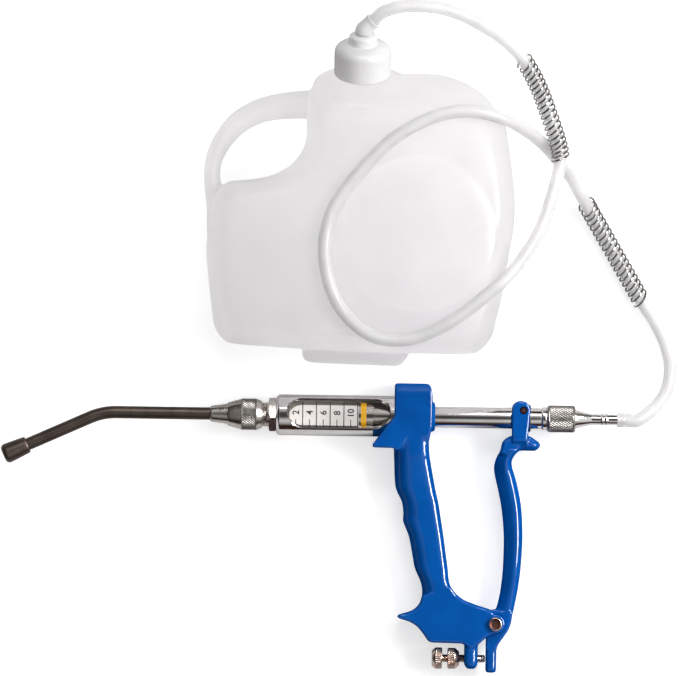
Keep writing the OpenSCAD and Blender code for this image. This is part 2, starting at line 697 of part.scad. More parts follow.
module nozzle_nut() color(nickel) gun() difference() {
    turned([[0, nut_front], [nut_lip_r, nut_front],
        [nut_r - face_gap, nut_rear - nut_bevel_len - nut_knurl_len],
        [nut_r, nut_rear - nut_bevel_len - nut_knurl_len],
        [nut_r, nut_rear - nut_bevel_len], [nut_bevel_r, nut_rear], [0, nut_rear]]);
    hole_x(nut_front, nut_rear, ferrule_r + face_gap);
    hole_x(nut_shoulder + overrun, nut_rear, neck_thread_r);
}

// Lever: squeezed length, foot between the cheeks, yoke and fork
module lever_body() loft([for (s = lever_section_shares) let (inner = s[1] * lever_h,
    outer = s[2] * lever_h) [for (q = oval((outer - inner) / 2, s[3] * lever_w / 2, lever_power,
    lever_sides)) [(inner + outer) / 2 + q[0], s[0] * lever_h, q[1]]]]);

module fork_arms() difference() {
    plate(arm_out) {
        polygon(scaled(lever_arm_shares, lever_h, lever_h));
        translate([arm_round_share * lever_h, slot_top_len * cos(rest_angle) - arm_lead])
            circle(arm_round_r, $fn = 64);
    }
    plate(arm_in) translate([-lever_h, arm_gap_share * lever_h]) square([2 * lever_h, lever_h]);
}

module pin_slot() rotate([0, 0, -rest_angle]) plate(housing_half) {
    half = trunnion_r + pin_slack;
    translate([-half, slot_low_len]) square([2 * half, slot_top_len - slot_low_len]);
    translate([0, slot_low_len]) circle(half, $fn = 64);
    translate([0, slot_top_len]) circle(half, $fn = 64);
}

module lever() color(blue_enamel) gun() at_pivot() difference() {
    union() {
        lever_body();
        plate(foot_half) {
            polygon(scaled(lever_foot_shares, lever_h, lever_h));
            circle(foot_r, $fn = 64);
        }
        plate(arm_out) polygon(scaled(lever_yoke_shares, lever_h, lever_h));
        fork_arms();
    }
    pin_slot();
    plate(housing_half) circle(pivot_r + run_gap, $fn = 64);
    translate([0, 0, foot_half - coil_pocket_depth])
        cylinder(h = coil_pocket_depth + overrun, r = coil_pocket_r, $fn = 64);
}

// Plunger: tube, yoke collar and its two trunnion pins
module plunger_tube() color(chrome) gun() difference() {
    rod_x(plunger_front, plunger_out, plunger_r);
    hole_x(plunger_front, plunger_out, plunger_ir);
    hole_x(plunger_front - overrun, plunger_front + stem_fit_len - overrun, stem_fit_r + fit_gap);
    hole_x(plunger_out - stem_fit_len + overrun, plunger_out, stem_fit_r + fit_gap);
}

module trunnion_place() translate([trunnion_x, trunnion_rise, 0]) children();

module yoke_collar() color(chrome) gun() difference() {
    translate([trunnion_x - collar_len / 2, 0, 0]) {
        rod_x(0, collar_len, collar_r);
        translate([0, 0, -collar_r]) cube([collar_len, collar_top, collar_w]);
    }
    hole_x(trunnion_x - collar_len, trunnion_x + collar_len, plunger_r + fit_gap);
    for (side = [0, 1]) mirror([0, 0, side]) trunnion_place()
        translate([0, 0, collar_r - pin_seat])
        cylinder(h = pin_seat + overrun, r = trunnion_r + fit_gap, $fn = 64);
}

module trunnion_pins() color(steel) gun() for (side = [0, 1]) mirror([0, 0, side])
    trunnion_place() translate([0, 0, collar_r - pin_seat])
    cylinder(h = housing_half - collar_r + pin_seat, r = trunnion_r, $fn = 64);

module piston_body() color(chrome) gun() difference() {
    union() {
        rod_x(piston_front + piston_nut_lip, plunger_front, piston_stem_r);
        rod_x(ring_front, plunger_front, piston_r);
        rod_x(plunger_front - overrun, plunger_front + stem_fit_len, stem_fit_r);
    }
    hole_x(piston_front, plunger_front - overrun, inlet_chamber_r);
    hole_x(piston_front, plunger_front + stem_fit_len, inlet_seat_r);
}

module piston_seal() color(seal_yellow) gun()
    tube_x(seal_front, ring_front, glass_bore / 2 - run_gap, piston_stem_r + fit_gap);

module piston_nut() color(chrome) gun() difference() {
    rod_x(piston_front, seal_front, piston_r);
    hole_x(piston_front + piston_nut_lip + overrun, seal_front, piston_stem_r + fit_gap);
    hole_x(piston_front, seal_front, inlet_hole_r);
}

module inlet_valve_ball() color(steel) gun() ball(inlet_ball_x, inlet_ball_r);

inlet_coil_axis = [[piston_front + piston_nut_lip + valve_wire / 2 + fit_gap, 0, 0],
    [inlet_ball_x - inlet_ball_r + valve_wire, 0, 0]];
inlet_coil_r = inlet_chamber_r - face_gap - valve_wire / 2;

module inlet_valve_spring() color(steel) gun()
    coil_along(inlet_coil_axis, 0, 1, inlet_coil_r, valve_turns, valve_wire);

// Swivel coupling at the back of the plunger
module coupling_adaptor() color(chrome) gun() difference() {
    union() {
        rod_x(plunger_out - stem_fit_len, plunger_out, stem_fit_r);
        rod_x(plunger_out, plunger_out + adaptor_flange_t, adaptor_flange_r);
        rod_x(plunger_out, adaptor_rear, coupling_thread_r);
    }
    hole_x(plunger_out - stem_fit_len, adaptor_rear, plunger_ir);
}

module connector_washer() color(rubber_black) gun()
    tube_x(adaptor_rear, connector_front, coupling_thread_r - face_gap, plunger_ir);

module hose_connector() color(chrome) gun() difference() {
    union() {
        turned([[0, connector_front], [coupling_thread_r, connector_front],
            [coupling_thread_r, connector_front + connector_flange_t],
            [coupling_lip_r - face_gap, connector_front + connector_flange_t],
            [coupling_lip_r - face_gap, coupling_rear], [barb_r, barb_front],
            [barb_r, barb_rear], [0, barb_rear]]);
        for (share = barb_ring_shares) translate([barb_front + share * barb_len, 0, 0])
            turned([[0, 0], [barb_r, 0], [barb_ring_r, barb_ring_len / 2],
                [barb_r, barb_ring_len], [0, barb_ring_len]]);
    }
    hole_x(connector_front, barb_rear, barb_bore_r);
}

module coupling_nut() color(nickel) gun() difference() {
    turned([[0, coupling_front], [coupling_r - turned_bevel, coupling_front],
        [coupling_r, coupling_front + turned_bevel], [coupling_r, coupling_rear - turned_bevel],
        [coupling_r - turned_bevel, coupling_rear], [0, coupling_rear]]);
    hole_x(coupling_front, coupling_rear, coupling_lip_r);
    hole_x(coupling_front, coupling_seat - overrun, coupling_thread_r + run_gap);
}

// Dose screw that stops the lever's tail, with its knob and lock nut
module at_screw() gun() translate([0, screw_y, 0]) children();

module bevelled(x0, x1, r, ir) turned([[ir, x0], [r - turned_bevel, x0], [r, x0 + turned_bevel],
    [r, x1 - turned_bevel], [r - turned_bevel, x1], [ir, x1]]);

module dose_rod() color(steel) at_screw() rod_x(knob_front, screw_tip, screw_r);

module dose_knob() color(steel) at_screw()
    bevelled(knob_front, knob_rear, knob_d / 2, screw_r + run_gap);

module dose_lock_nut() color(steel) at_screw()
    bevelled(lock_nut_front, lock_nut_rear, lock_nut_d / 2, screw_r + run_gap);

// Can: rounded shell with a carrying handle, a leaning tower and its neck
function can_level(inset) = [for (s = can_outline_shares)
    [(s[0] + (s[2] - s[0]) * inset) * can_w, (s[1] + (s[3] - s[1]) * inset) * can_h]];

function can_ring(angle, wall) = let (
    p = ring_spline(can_level(1 - pow(abs(cos(angle)), 2 / can_power)), can_steps), n = len(p),
    rise = can_mid + (can_mid - wall) * sign(angle) * pow(abs(sin(angle)), 2 / can_power))
    [for (i = [0:n - 1]) let (t = p[(i + 1) % n] - p[(i + n - 1) % n], out = unit([t[1], -t[0]]))
        [p[i][0] - wall * out[0], p[i][1] - wall * out[1], rise]];

function can_hub(ring) = [for (p = ring) let (out = can_hub_r * unit([p[0], p[1]]))
    [out[0], out[1], p[2]]];

module can_slab(angles, wall) {
    rings = [for (a = angles) can_ring(a, wall)];
    loft(concat([can_hub(rings[0])], rings, [can_hub(rings[len(rings) - 1])]));
}

handle_points = [for (s = handle_path_shares)
    [s[0] * can_w, s[1] * can_h, can_mid, s[2] * handle_w, s[3] * handle_d]];

function handle_ring(i) = let (p = handle_points, last = len(p) - 1, a = p[max(i - 1, 0)],
    b = p[min(i + 1, last)], t = unit([b[0] - a[0], b[1] - a[1], 0]), e = cross([0, 0, 1], t))
    [for (q = oval(p[i][3] / 2, p[i][4] / 2, can_power, handle_sides))
    [p[i][0], p[i][1], p[i][2] + q[1]] + q[0] * e];

module handle_loft() loft([for (i = [0:len(handle_points) - 1]) handle_ring(i)]);

module tower(r, rim, top_r, top) at_neck() translate([0, 0, -tower_sink])
    rotate_extrude($fn = 128) polygon([[0, 0], [r, 0], [r, rim + tower_sink],
        [top_r, top + tower_sink], [0, top + tower_sink]]);

module tower_form() {
    tower(tower_r, tower_len, neck_r, neck_base);
    at_neck() cylinder(h = neck_top, r = neck_r, $fn = 128);
}

module tower_bore() {
    tower(tower_r - can_wall, tower_len - can_wall, neck_r - neck_wall, neck_base);
    at_neck() cylinder(h = neck_top + overrun, r = neck_r - neck_wall, $fn = 128);
}

module can_panel() intersection() {
    translate([panel_x_share * can_w, panel_y_share * can_h, can_d + panel_rise - panel_ball_r])
        rotate([90, 0, 0]) sphere(panel_ball_r, $fn = 128);
    translate([panel_x_share * can_w, panel_y_share * can_h, can_d - can_wall / 2])
        cylinder(h = can_wall + panel_rise, r = panel_r, $fn = 128);
}

module can_lug(base) translate([0, 0, base]) linear_extrude(lug_d / 2)
    polygon(scaled(lug_shares, can_w, can_h));

// The can's shell: two moulded halves that meet at mid-depth, each with a shoulder under the handle
module left_of_split() translate([can_split_x - can_w, -can_h, -can_d])
    cube([can_w, 2 * can_h, 3 * can_d]);

module back_form() difference() {
    union() {
        can_slab(can_back_angles, 0);
        can_lug(can_mid - lug_d / 2);
    }
    can_slab(can_inner_angles, can_wall);
    tower_bore();
}

module front_form() difference() {
    union() {
        can_slab(can_front_angles, 0);
        can_panel();
        can_lug(can_mid);
    }
    can_slab(can_inner_angles, can_wall);
    tower_bore();
}

module can_back_shell() color(can_white) difference() {
    back_form();
    left_of_split();
}

module can_front_shell() color(can_white) difference() {
    front_form();
    left_of_split();
}

module can_back_shoulder() color(can_white) intersection() {
    back_form();
    left_of_split();
}

module can_front_shoulder() color(can_white) intersection() {
    front_form();
    left_of_split();
}

module can_handle() color(can_white) difference() {
    handle_loft();
    can_slab(can_outer_angles, 0);
    tower_form();
}

module can_tower() color(can_white) difference() {
    tower_form();
    can_slab(can_outer_angles, 0);
    tower_bore();
}

module can_cap() color(can_white) at_neck() rotate_extrude($fn = 96) polygon([
    [neck_r + face_gap, cap_base], [cap_r, cap_base], [cap_r, cap_skirt_top],
    for (a = [15:15:90]) [cap_dome_r + (cap_r - cap_dome_r) * cos(a),
        cap_skirt_top + cap_dome_len * sin(a)],
    [cap_boss_r, cap_dome_top], [cap_boss_r, cap_top], [spout_stem_r + run_gap, cap_top],
    [spout_stem_r + run_gap, cap_ceiling], [neck_r + face_gap, cap_ceiling]]);

module cap_gasket() color(rubber_black) at_neck() translate([0, 0, neck_top])
    difference() {
        cylinder(h = cap_gasket_t, r = neck_r, $fn = 96);
        translate([0, 0, -overrun])
            cylinder(h = cap_gasket_t + 2 * overrun, r = neck_r - neck_wall, $fn = 96);
    }

// Swivel spout in the cap's boss, held by a flange under the cap's ceiling
module cap_spout() color(can_white) at_neck() difference() {
    union() {
        translate([0, 0, cap_ceiling - face_gap - spout_flange_t])
            cylinder(h = spout_flange_t, r = spout_flange_r, $fn = 64);
        translate([0, 0, cap_ceiling - face_gap - spout_flange_t])
            cylinder(h = spout_centre - cap_ceiling + face_gap + spout_flange_t,
                r = spout_stem_r, $fn = 64);
        translate([0, 0, spout_centre]) intersection() {
            sphere(spout_knuckle_r, $fn = 64);
            translate([0, 0, cap_top + face_gap - spout_centre])
                cylinder(h = 2 * spout_knuckle_r, r = spout_knuckle_r, $fn = 64);
        }
        translate([0, 0, spout_centre]) rotate([0, spout_angle, 0])
            cylinder(h = spout_len, r = spout_r, $fn = 64);
    }
    translate([0, 0, cap_ceiling - face_gap - spout_flange_t - overrun])
        cylinder(h = spout_centre - cap_ceiling + 2 * overrun + spout_flange_t,
            r = spout_bore_r, $fn = 64);
    translate([0, 0, spout_centre]) rotate([0, spout_angle, 0])
        cylinder(h = spout_len + overrun, r = spout_bore_r, $fn = 64);
}

// Hose and the two guard springs on it
module hose_main() color(hose_grey) tube_along(hose_route, 0, hose_split, hose_split, hose_r, hose_sides);

module hose_tail() color(hose_grey) tube_along(hose_route, hose_split + hose_joint_share,
    len(hose_route) - 1, len(hose_route) - 1 - hose_split, hose_r, hose_sides);

module hose_spring_upper() color(steel) coil_along(hose_route, guard_upper_span[0],
    guard_upper_span[1], guard_r, guard_upper_turns, guard_wire);

module hose_spring_lower() color(steel) coil_along(hose_route, guard_lower_span[0],
    guard_lower_span[1], guard_r, guard_lower_turns, guard_wire);

echo(upper_guard_least_gap = coil_gap(hose_route, guard_upper_span[0], guard_upper_span[1],
    guard_r, guard_upper_turns, guard_wire));
echo(lower_guard_least_gap = coil_gap(hose_route, guard_lower_span[0], guard_lower_span[1],
    guard_r, guard_lower_turns, guard_wire));
echo(lever_spring_least_gap = coil_gap(lever_coil_axis, 0, 1, lever_coil_r, lever_coil_turns,
    lever_coil_wire));
echo(outlet_spring_least_gap = coil_gap(outlet_coil_axis, 0, 1, outlet_coil_r, valve_turns,
    valve_wire));
echo(inlet_spring_least_gap = coil_gap(inlet_coil_axis, 0, 1, inlet_coil_r, valve_turns,
    valve_wire));

grip_frame();
barrel();
glass_cylinder();
front_gasket();
rear_gasket();
guide_bush();
outlet_valve_body();
outlet_valve_ball();
outlet_valve_spring();
lever_pivot_pin();
lever_spring();
nozzle_pipe();
nozzle_tip();
nozzle_ferrule();
nozzle_washer();
nozzle_nut();
lever();
plunger_tube();
yoke_collar();
trunnion_pins();
piston_body();
piston_seal();
piston_nut();
inlet_valve_ball();
inlet_valve_spring();
coupling_adaptor();
connector_washer();
hose_connector();
coupling_nut();
dose_rod();
dose_knob();
dose_lock_nut();
can_back_shell();
can_front_shell();
can_back_shoulder();
can_front_shoulder();
can_handle();
can_tower();
can_cap();
cap_gasket();
cap_spout();
hose_main();
hose_tail();
hose_spring_upper();
hose_spring_lower();
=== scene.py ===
"""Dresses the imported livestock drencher: a drench gun, its guarded hose and its shoulder can."""
import logging
import math
from dataclasses import dataclass, field
from enum import Enum
from typing import Any, Callable, Dict, List, Optional, Sequence, Tuple

import bmesh
import bpy
import numpy as np
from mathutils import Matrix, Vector


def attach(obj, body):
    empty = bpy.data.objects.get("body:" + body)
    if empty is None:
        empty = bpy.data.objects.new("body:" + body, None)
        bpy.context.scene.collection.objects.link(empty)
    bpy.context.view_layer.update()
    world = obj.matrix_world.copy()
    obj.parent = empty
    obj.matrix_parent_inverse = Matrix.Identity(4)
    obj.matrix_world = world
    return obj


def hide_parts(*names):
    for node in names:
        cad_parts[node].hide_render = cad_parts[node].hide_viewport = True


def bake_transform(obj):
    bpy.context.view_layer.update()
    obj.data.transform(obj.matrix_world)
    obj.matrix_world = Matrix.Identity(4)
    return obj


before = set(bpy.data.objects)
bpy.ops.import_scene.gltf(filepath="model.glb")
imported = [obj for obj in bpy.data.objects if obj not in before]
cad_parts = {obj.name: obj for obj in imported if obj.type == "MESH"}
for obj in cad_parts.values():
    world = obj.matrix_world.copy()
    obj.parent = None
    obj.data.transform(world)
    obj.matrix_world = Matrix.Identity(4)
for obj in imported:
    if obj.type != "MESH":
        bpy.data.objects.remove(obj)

LOG = logging.getLogger("drencher")
MM = 0.001
Faces = List[Tuple[int, ...]]
Skin = Tuple[np.ndarray, Faces]
Relief = Callable[[np.ndarray, np.ndarray, np.ndarray], np.ndarray]


class Body(Enum):
    """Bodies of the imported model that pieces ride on."""

    BASE = "base"
    NOZZLE = "nozzle"
    NOZZLE_NUT = "nozzle_nut"
    LEVER = "lever"
    PLUNGER = "plunger"
    COUPLING_NUT = "coupling_nut"
    SCREW = "dose_screw"
    KNOB = "dose_knob"
    LOCK_NUT = "dose_lock_nut"
    CAP = "can_cap"


class Slot(Enum):
    """Names of material slots."""

    ENAMEL = "blue_enamel"
    CHROME = "chrome_plate"
    NICKEL = "nickel_plate"
    STEEL = "bright_steel"
    GLASS = "sight_glass"
    PLASTIC = "milky_plastic"
    HOSE = "clear_hose"


# Small tools for nodes

def to_linear(code: str) -> Tuple[float, float, float, float]:
    """Turns a colour as the eye names it into the renderer's linear one.

    Args:
        code: sRGB colour as #RRGGBB.

    Returns:
        Linear red, green, blue and an alpha of one.
    """
    parts = [int(code[i:i + 2], 16) / 255 for i in (1, 3, 5)]
    lin = [p / 12.92 if p <= 0.04045 else ((p + 0.055) / 1.055) ** 2.4 for p in parts]
    return lin[0], lin[1], lin[2], 1.0


def per_mm(size: float) -> float:
    """Texture scale whose features are about this many millimetres across."""
    return 1.0 / (size * MM)


def ranged(low: float, high: float, start: float = 0.3, stop: float = 0.7) -> Dict[str, float]:
    """Range inputs that carry start to stop, the usual swing of a mottle, on to low to high."""
    return {"From Min": start, "From Max": stop, "To Min": low, "To Max": high}


def add_node(tree: bpy.types.NodeTree, kind: str, settings: Optional[Dict[str, Any]] = None,
             inputs: Optional[Dict[Any, Any]] = None, out: Any = 0) -> Any:
    """Adds one node to a tree, sets its options and fills or joins its inputs.

    Args:
        tree: the node tree.
        kind: the node's type name.
        settings: options of the node by attribute name.
        inputs: for each input's name or index, a socket to join or a value to set.
        out: name or index of the output that is handed back.

    Returns:
        That output's socket, or none for a node that ends the tree.
    """
    node = tree.nodes.new(kind)
    for key, value in (settings or {}).items():
        setattr(node, key, value)
    for key, value in (inputs or {}).items():
        socket = node.inputs[key]
        if isinstance(value, bpy.types.NodeSocket):
            tree.links.new(value, socket)
        else:
            socket.default_value = value
    return node.outputs[out] if len(node.outputs) else None


def mottle(tree: bpy.types.NodeTree, size: float, detail: float = 3.0,
           stretch: Tuple[float, float, float] = (1.0, 1.0, 1.0)) -> bpy.types.NodeSocket:
    """Mottled pattern in the object's own space.

    Args:
        tree: the node tree.
        size: width of one blotch in millimetres.
        detail: octaves of finer mottle on top.
        stretch: how many times finer it is along each axis.

    Returns:
        The pattern's value.
    """
    place = add_node(tree, "ShaderNodeTexCoord", out="Object")
    drawn = add_node(tree, "ShaderNodeMapping", inputs={"Vector": place, "Scale": stretch})
    return add_node(tree, "ShaderNodeTexNoise", inputs={
        "Vector": drawn, "Scale": per_mm(size), "Detail": detail})


def clouded(tree: bpy.types.NodeTree, pattern: bpy.types.NodeSocket, first: str,
            second: str) -> bpy.types.NodeSocket:
    """Shares out two colours in clouds.

    Args:
        tree: the node tree.
        pattern: the mottle that shares them out.
        first: sRGB colour where the mottle is low.
        second: sRGB colour where it is high.

    Returns:
        The mixed colour.
    """
    share = add_node(tree, "ShaderNodeMapRange", inputs={"Value": pattern, **ranged(0.0, 1.0)})
    return add_node(tree, "ShaderNodeMix", {"data_type": "RGBA"}, {
        0: share, 6: to_linear(first), 7: to_linear(second)}, 2)


# Finishes

@dataclass(frozen=True)
class Finish:
    """A real surface: what it is made of and how it was worked."""

    name: str

    def material(self) -> bpy.types.Material:
        """Makes the finish as a material once, and then shares it.

        Returns:
            The material.
        """
        made = bpy.data.materials.get(self.name)
        if made is None:
            made = bpy.data.materials.new(self.name)
            made.use_nodes = True
            made.node_tree.nodes.clear()
            shader = self.shade(made.node_tree)
            add_node(made.node_tree, "ShaderNodeOutputMaterial", inputs={"Surface": shader})
        return made

    def shade(self, tree: bpy.types.NodeTree) -> bpy.types.NodeSocket:
        """Builds the shader in an empty tree and returns its output."""
        raise NotImplementedError


@dataclass(frozen=True)
class Plated(Finish):
    """Plated or turned metal with a grain from the tool and clouds of tarnish."""

    tone: str = "#C9C6C8"
    stain: str = "#B5AFA8"
    rough: Tuple[float, float] = (0.08, 0.16)
    grain: float = 0.4
    grain_depth: float = 0.004
    cloud: float = 9.0
    lathe: Tuple[float, float, float] = (6.0, 1.0, 1.0)

    def shade(self, tree: bpy.types.NodeTree) -> bpy.types.NodeSocket:
        """Metal with tool marks that run round the gun's long axis.

        Args:
            tree: the material's empty node tree.

        Returns:
            The shader's output.
        """
        marks = mottle(tree, self.grain * self.lathe[0], 2.0, self.lathe)
        clouds = mottle(tree, self.cloud, 4.0)
        return add_node(tree, "ShaderNodeBsdfPrincipled", inputs={
            "Base Color": clouded(tree, clouds, self.tone, self.stain),
            "Metallic": 1.0,
            "Roughness": add_node(tree, "ShaderNodeMapRange", inputs={
                "Value": marks, **ranged(*self.rough)}),
            "Normal": add_node(tree, "ShaderNodeBump", inputs={
                "Height": marks, "Distance": self.grain_depth * MM, "Strength": 0.6})})


@dataclass(frozen=True)
class StoveEnamel(Finish):
    """Gloss enamel stoved on a casting: it flows out to a skin with a faint orange peel."""

    tone: str = "#0054A8"
    deep: str = "#004C9C"
    # Paler blue for sharp edges: paint thinned by wear and also a painted edge highlight
    bare: str = "#5C82A8"
    flow: float = 14.0
    peel: float = 2.2
    peel_depth: float = 0.04
    speck: float = 0.9

    def shade(self, tree: bpy.types.NodeTree) -> bpy.types.NodeSocket:
        """Blue under a glossy skin, paler in specks where the casting's edges stand out: paint
        thinned by wear and also a painted edge highlight.

        Args:
            tree: the material's empty node tree.

        Returns:
            The shader's output.
        """
        flow = mottle(tree, self.flow, 3.0)
        peel = mottle(tree, self.peel, 1.0)
        speck = mottle(tree, self.speck, 4.0)
        # Paler blue in specks along sharp edges: partly paint thinned by wear, partly a painted
        # highlight
        edge = add_node(tree, "ShaderNodeNewGeometry", out="Pointiness")
        raised = add_node(tree, "ShaderNodeMapRange", inputs={
            "Value": edge, **ranged(0.0, 1.0, 0.6, 0.7)})
        rubbed_and_highlit = add_node(tree, "ShaderNodeMapRange", inputs={
            "Value": speck, **ranged(0.0, 0.4, 0.55, 0.66)})
        wear_and_highlight = add_node(tree, "ShaderNodeMath", {"operation": "MULTIPLY"}, {0: raised, 1: rubbed_and_highlit})
        colour = add_node(tree, "ShaderNodeMix", {"data_type": "RGBA"}, {
            0: wear_and_highlight, 6: clouded(tree, flow, self.tone, self.deep), 7: to_linear(self.bare)}, 2)
        turn = add_node(tree, "ShaderNodeLayerWeight", inputs={"Blend": 0.5}, out="Facing")
        return add_node(tree, "ShaderNodeBsdfPrincipled", inputs={
            "Base Color": colour,
            "Roughness": add_node(tree, "ShaderNodeMapRange", inputs={
                "Value": speck, **ranged(0.22, 0.34)}),
            "IOR": 1.5, "Specular IOR Level": 0.0, "Coat Roughness": 0.05, "Coat IOR": 1.5,
            "Coat Weight": add_node(tree, "ShaderNodeMapRange", inputs={
                "Value": turn, **ranged(1.0, 0.02, 0.12, 0.45)}),
            "Normal": add_node(tree, "ShaderNodeBump", inputs={
                "Height": peel, "Distance": self.peel_depth * MM, "Strength": 0.22})})


@dataclass(frozen=True)
class MilkyPlastic(Finish):
    """Natural polyethylene: a thin wall that passes part of its light on, under a dull sheen."""

    tone: str = "#F5F4F5"
    warm: str = "#F0EFF0"
    rough: Tuple[float, float] = (0.3, 0.42)
    passed: float = 0.84
    cloud: float = 30.0
    peel: float = 1.6
    peel_depth: float = 0.06

    def shade(self, tree: bpy.types.NodeTree) -> bpy.types.NodeSocket:
        """Milky skin with the mould's fine orange peel and a few flow clouds.

        Args:
            tree: the material's empty node tree.

        Returns:
            The shader's output.
        """
        clouds = mottle(tree, self.cloud, 3.0)
        skin = mottle(tree, self.peel, 2.0)
        colour = clouded(tree, clouds, self.tone, self.warm)
        bumps = add_node(tree, "ShaderNodeBump", inputs={
            "Height": skin, "Distance": self.peel_depth * MM, "Strength": 0.2})
        wall = add_node(tree, "ShaderNodeBsdfPrincipled", inputs={
            "Base Color": colour, "IOR": 1.5, "Specular IOR Level": 0.9, "Normal": bumps,
            "Roughness": add_node(tree, "ShaderNodeMapRange", inputs={
                "Value": skin, **ranged(*self.rough)})})
        glow = add_node(tree, "ShaderNodeBsdfTranslucent", inputs={
            "Color": colour, "Normal": bumps})
        return add_node(tree, "ShaderNodeMixShader", inputs={0: self.passed, 1: wall, 2: glow})


@dataclass(frozen=True)
class ClearTube(Finish):
    """Extruded soft vinyl: clear but hazy, with a faint unevenness from the die."""

    tone: str = "#F4F3F4"
    haze: str = "#EAE9EA"
    passed: float = 0.4
    cloud: float = 12.0
    peel: float = 0.8
    peel_depth: float = 0.03

    def shade(self, tree: bpy.types.NodeTree) -> bpy.types.NodeSocket:
        """Hazy vinyl that lets part of the light through.

        Args:
            tree: the material's empty node tree.

        Returns:
            The shader's output.
        """
        clouds = mottle(tree, self.cloud, 3.0)
        skin = mottle(tree, self.peel, 2.0)
        colour = clouded(tree, clouds, self.tone, self.haze)
        bumps = add_node(tree, "ShaderNodeBump", inputs={
            "Height": skin, "Distance": self.peel_depth * MM, "Strength": 0.2})
        wall = add_node(tree, "ShaderNodeBsdfPrincipled", inputs={
            "Base Color": colour, "IOR": 1.45, "Normal": bumps,
            "Roughness": add_node(tree, "ShaderNodeMapRange", inputs={
                "Value": skin, **ranged(0.12, 0.22)})})
        glow = add_node(tree, "ShaderNodeBsdfTranslucent", inputs={
            "Color": colour, "Normal": bumps})
        milk = add_node(tree, "ShaderNodeMixShader", inputs={0: self.passed, 1: wall, 2: glow})
        clear = add_node(tree, "ShaderNodeBsdfTransparent", inputs={"Color": (1, 1, 1, 1)})
        turn = add_node(tree, "ShaderNodeLayerWeight", inputs={"Blend": 0.4}, out="Facing")
        through = add_node(tree, "ShaderNodeMapRange", inputs={
            "Value": turn, **ranged(0.45, 0.1, 0.15, 0.8)})
        return add_node(tree, "ShaderNodeMixShader", inputs={0: through, 1: milk, 2: clear})


@dataclass(frozen=True)
class SightGlass(Finish):
    """Polished glass tube: what is behind it shows, its face mirrors the light."""

    tone: str = "#FCFBFA"
    wipe: float = 5.0

    def shade(self, tree: bpy.types.NodeTree) -> bpy.types.NodeSocket:
        """Clear body with a mirror skin that grows towards the rim, wiped faintly hazy.

        Args:
            tree: the material's empty node tree.

        Returns:
            The shader's output.
        """
        wipe = mottle(tree, self.wipe, 4.0)
        gloss = add_node(tree, "ShaderNodeBsdfGlossy", inputs={
            "Color": to_linear("#FFFFFF"),
            "Roughness": add_node(tree, "ShaderNodeMapRange", inputs={
                "Value": wipe, **ranged(0.02, 0.08)})})
        clear = add_node(tree, "ShaderNodeBsdfTransparent", inputs={"Color": to_linear(self.tone)})
        rim = add_node(tree, "ShaderNodeLayerWeight", inputs={"Blend": 0.06}, out="Fresnel")
        return add_node(tree, "ShaderNodeMixShader", inputs={0: rim, 1: clear, 2: gloss})


@dataclass(frozen=True)
class Dull(Finish):
    """Rubber, print or other dull skin with a fine mottle."""

    tone: str = "#26262A"
    mottled: str = "#34343A"
    rough: Tuple[float, float] = (0.5, 0.7)
    size: float = 0.7
    depth: float = 0.03

    def shade(self, tree: bpy.types.NodeTree) -> bpy.types.NodeSocket:
        """Dull mottled skin.

        Args:
            tree: the material's empty node tree.

        Returns:
            The shader's output.
        """
        spots = mottle(tree, self.size, 3.0)
        return add_node(tree, "ShaderNodeBsdfPrincipled", inputs={
            "Base Color": clouded(tree, spots, self.tone, self.mottled), "IOR": 1.5,
            "Roughness": add_node(tree, "ShaderNodeMapRange", inputs={
                "Value": spots, **ranged(*self.rough)}),
            "Normal": add_node(tree, "ShaderNodeBump", inputs={
                "Height": spots, "Distance": self.depth * MM, "Strength": 0.4})})


@dataclass(frozen=True)
class Paper(Finish):
    """Matt paper that glows just enough to stay white and keeps the object's shadow."""

    tone: str = "#D6D6D6"
    fibre: str = "#DADADA"
    size: float = 4.0
    lift: float = 0.62

    def shade(self, tree: bpy.types.NodeTree) -> bpy.types.NodeSocket:
        """Fibrous white, with a glow for rays that show the floor as such.

        Args:
            tree: the material's empty node tree.

        Returns:
            The shader's output.
        """
        colour = add_node(tree, "ShaderNodeMix", {"data_type": "RGBA"}, {
            0: mottle(tree, self.size, 4.0), 6: to_linear(self.tone), 7: to_linear(self.fibre)}, 2)
        matt = add_node(tree, "ShaderNodeBsdfDiffuse", inputs={"Color": colour})
        rays = add_node(tree, "ShaderNodeLightPath").node.outputs
        seen = add_node(tree, "ShaderNodeMath", {"operation": "MAXIMUM"}, {
            0: rays["Is Camera Ray"], 1: rays["Is Transmission Ray"]})
        glow = add_node(tree, "ShaderNodeEmission", inputs={
            "Color": (1, 1, 1, 1),
            "Strength": add_node(tree, "ShaderNodeMath", {"operation": "MULTIPLY"}, {
                0: seen, 1: self.lift})})
        return add_node(tree, "ShaderNodeAddShader", inputs={0: matt, 1: glow})


# Stoved enamel flows out glossy, so the casting shows sharp white streaks on deep blue
ENAMEL = StoveEnamel("stoved_blue_enamel")
# Polished chrome mirrors the room in hard bands; lathe marks of about 0.1 mm are drawn at 0.3 mm
CHROME = Plated("polished_chrome_plate", "#E3E1E1", "#D4D0CE", (0.05, 0.12), grain=0.3,
                grain_depth=0.002, cloud=12.0)
# Dull nickel has a warm brown cast and blurs what it mirrors
NICKEL = Plated("dull_nickel_plate", "#CDC8C3", "#B7AEA7", (0.16, 0.28), grain=0.35,
                grain_depth=0.003, cloud=7.0)
# The nozzle's nickel has gone brown in use and mirrors more darkly than the nuts
BROWN_NICKEL = Plated("tarnished_nickel_plate", "#5E544E", "#4B423D", (0.36, 0.48), grain=0.35,
                      grain_depth=0.002, cloud=10.0)
# Rolled knurls are frosted by the roller, so they spread the light evenly
KNURLED = Plated("rolled_knurl_nickel", "#8F8C88", "#787470", (0.28, 0.4), grain=0.35,
                 grain_depth=0.002, cloud=5.0)
# Turned steel shows the tool's rings and a coppery oil film
STEEL = Plated("turned_steel", "#CFC4BC", "#BF9A8A", (0.2, 0.32), grain=0.3, grain_depth=0.003,
               cloud=5.0)
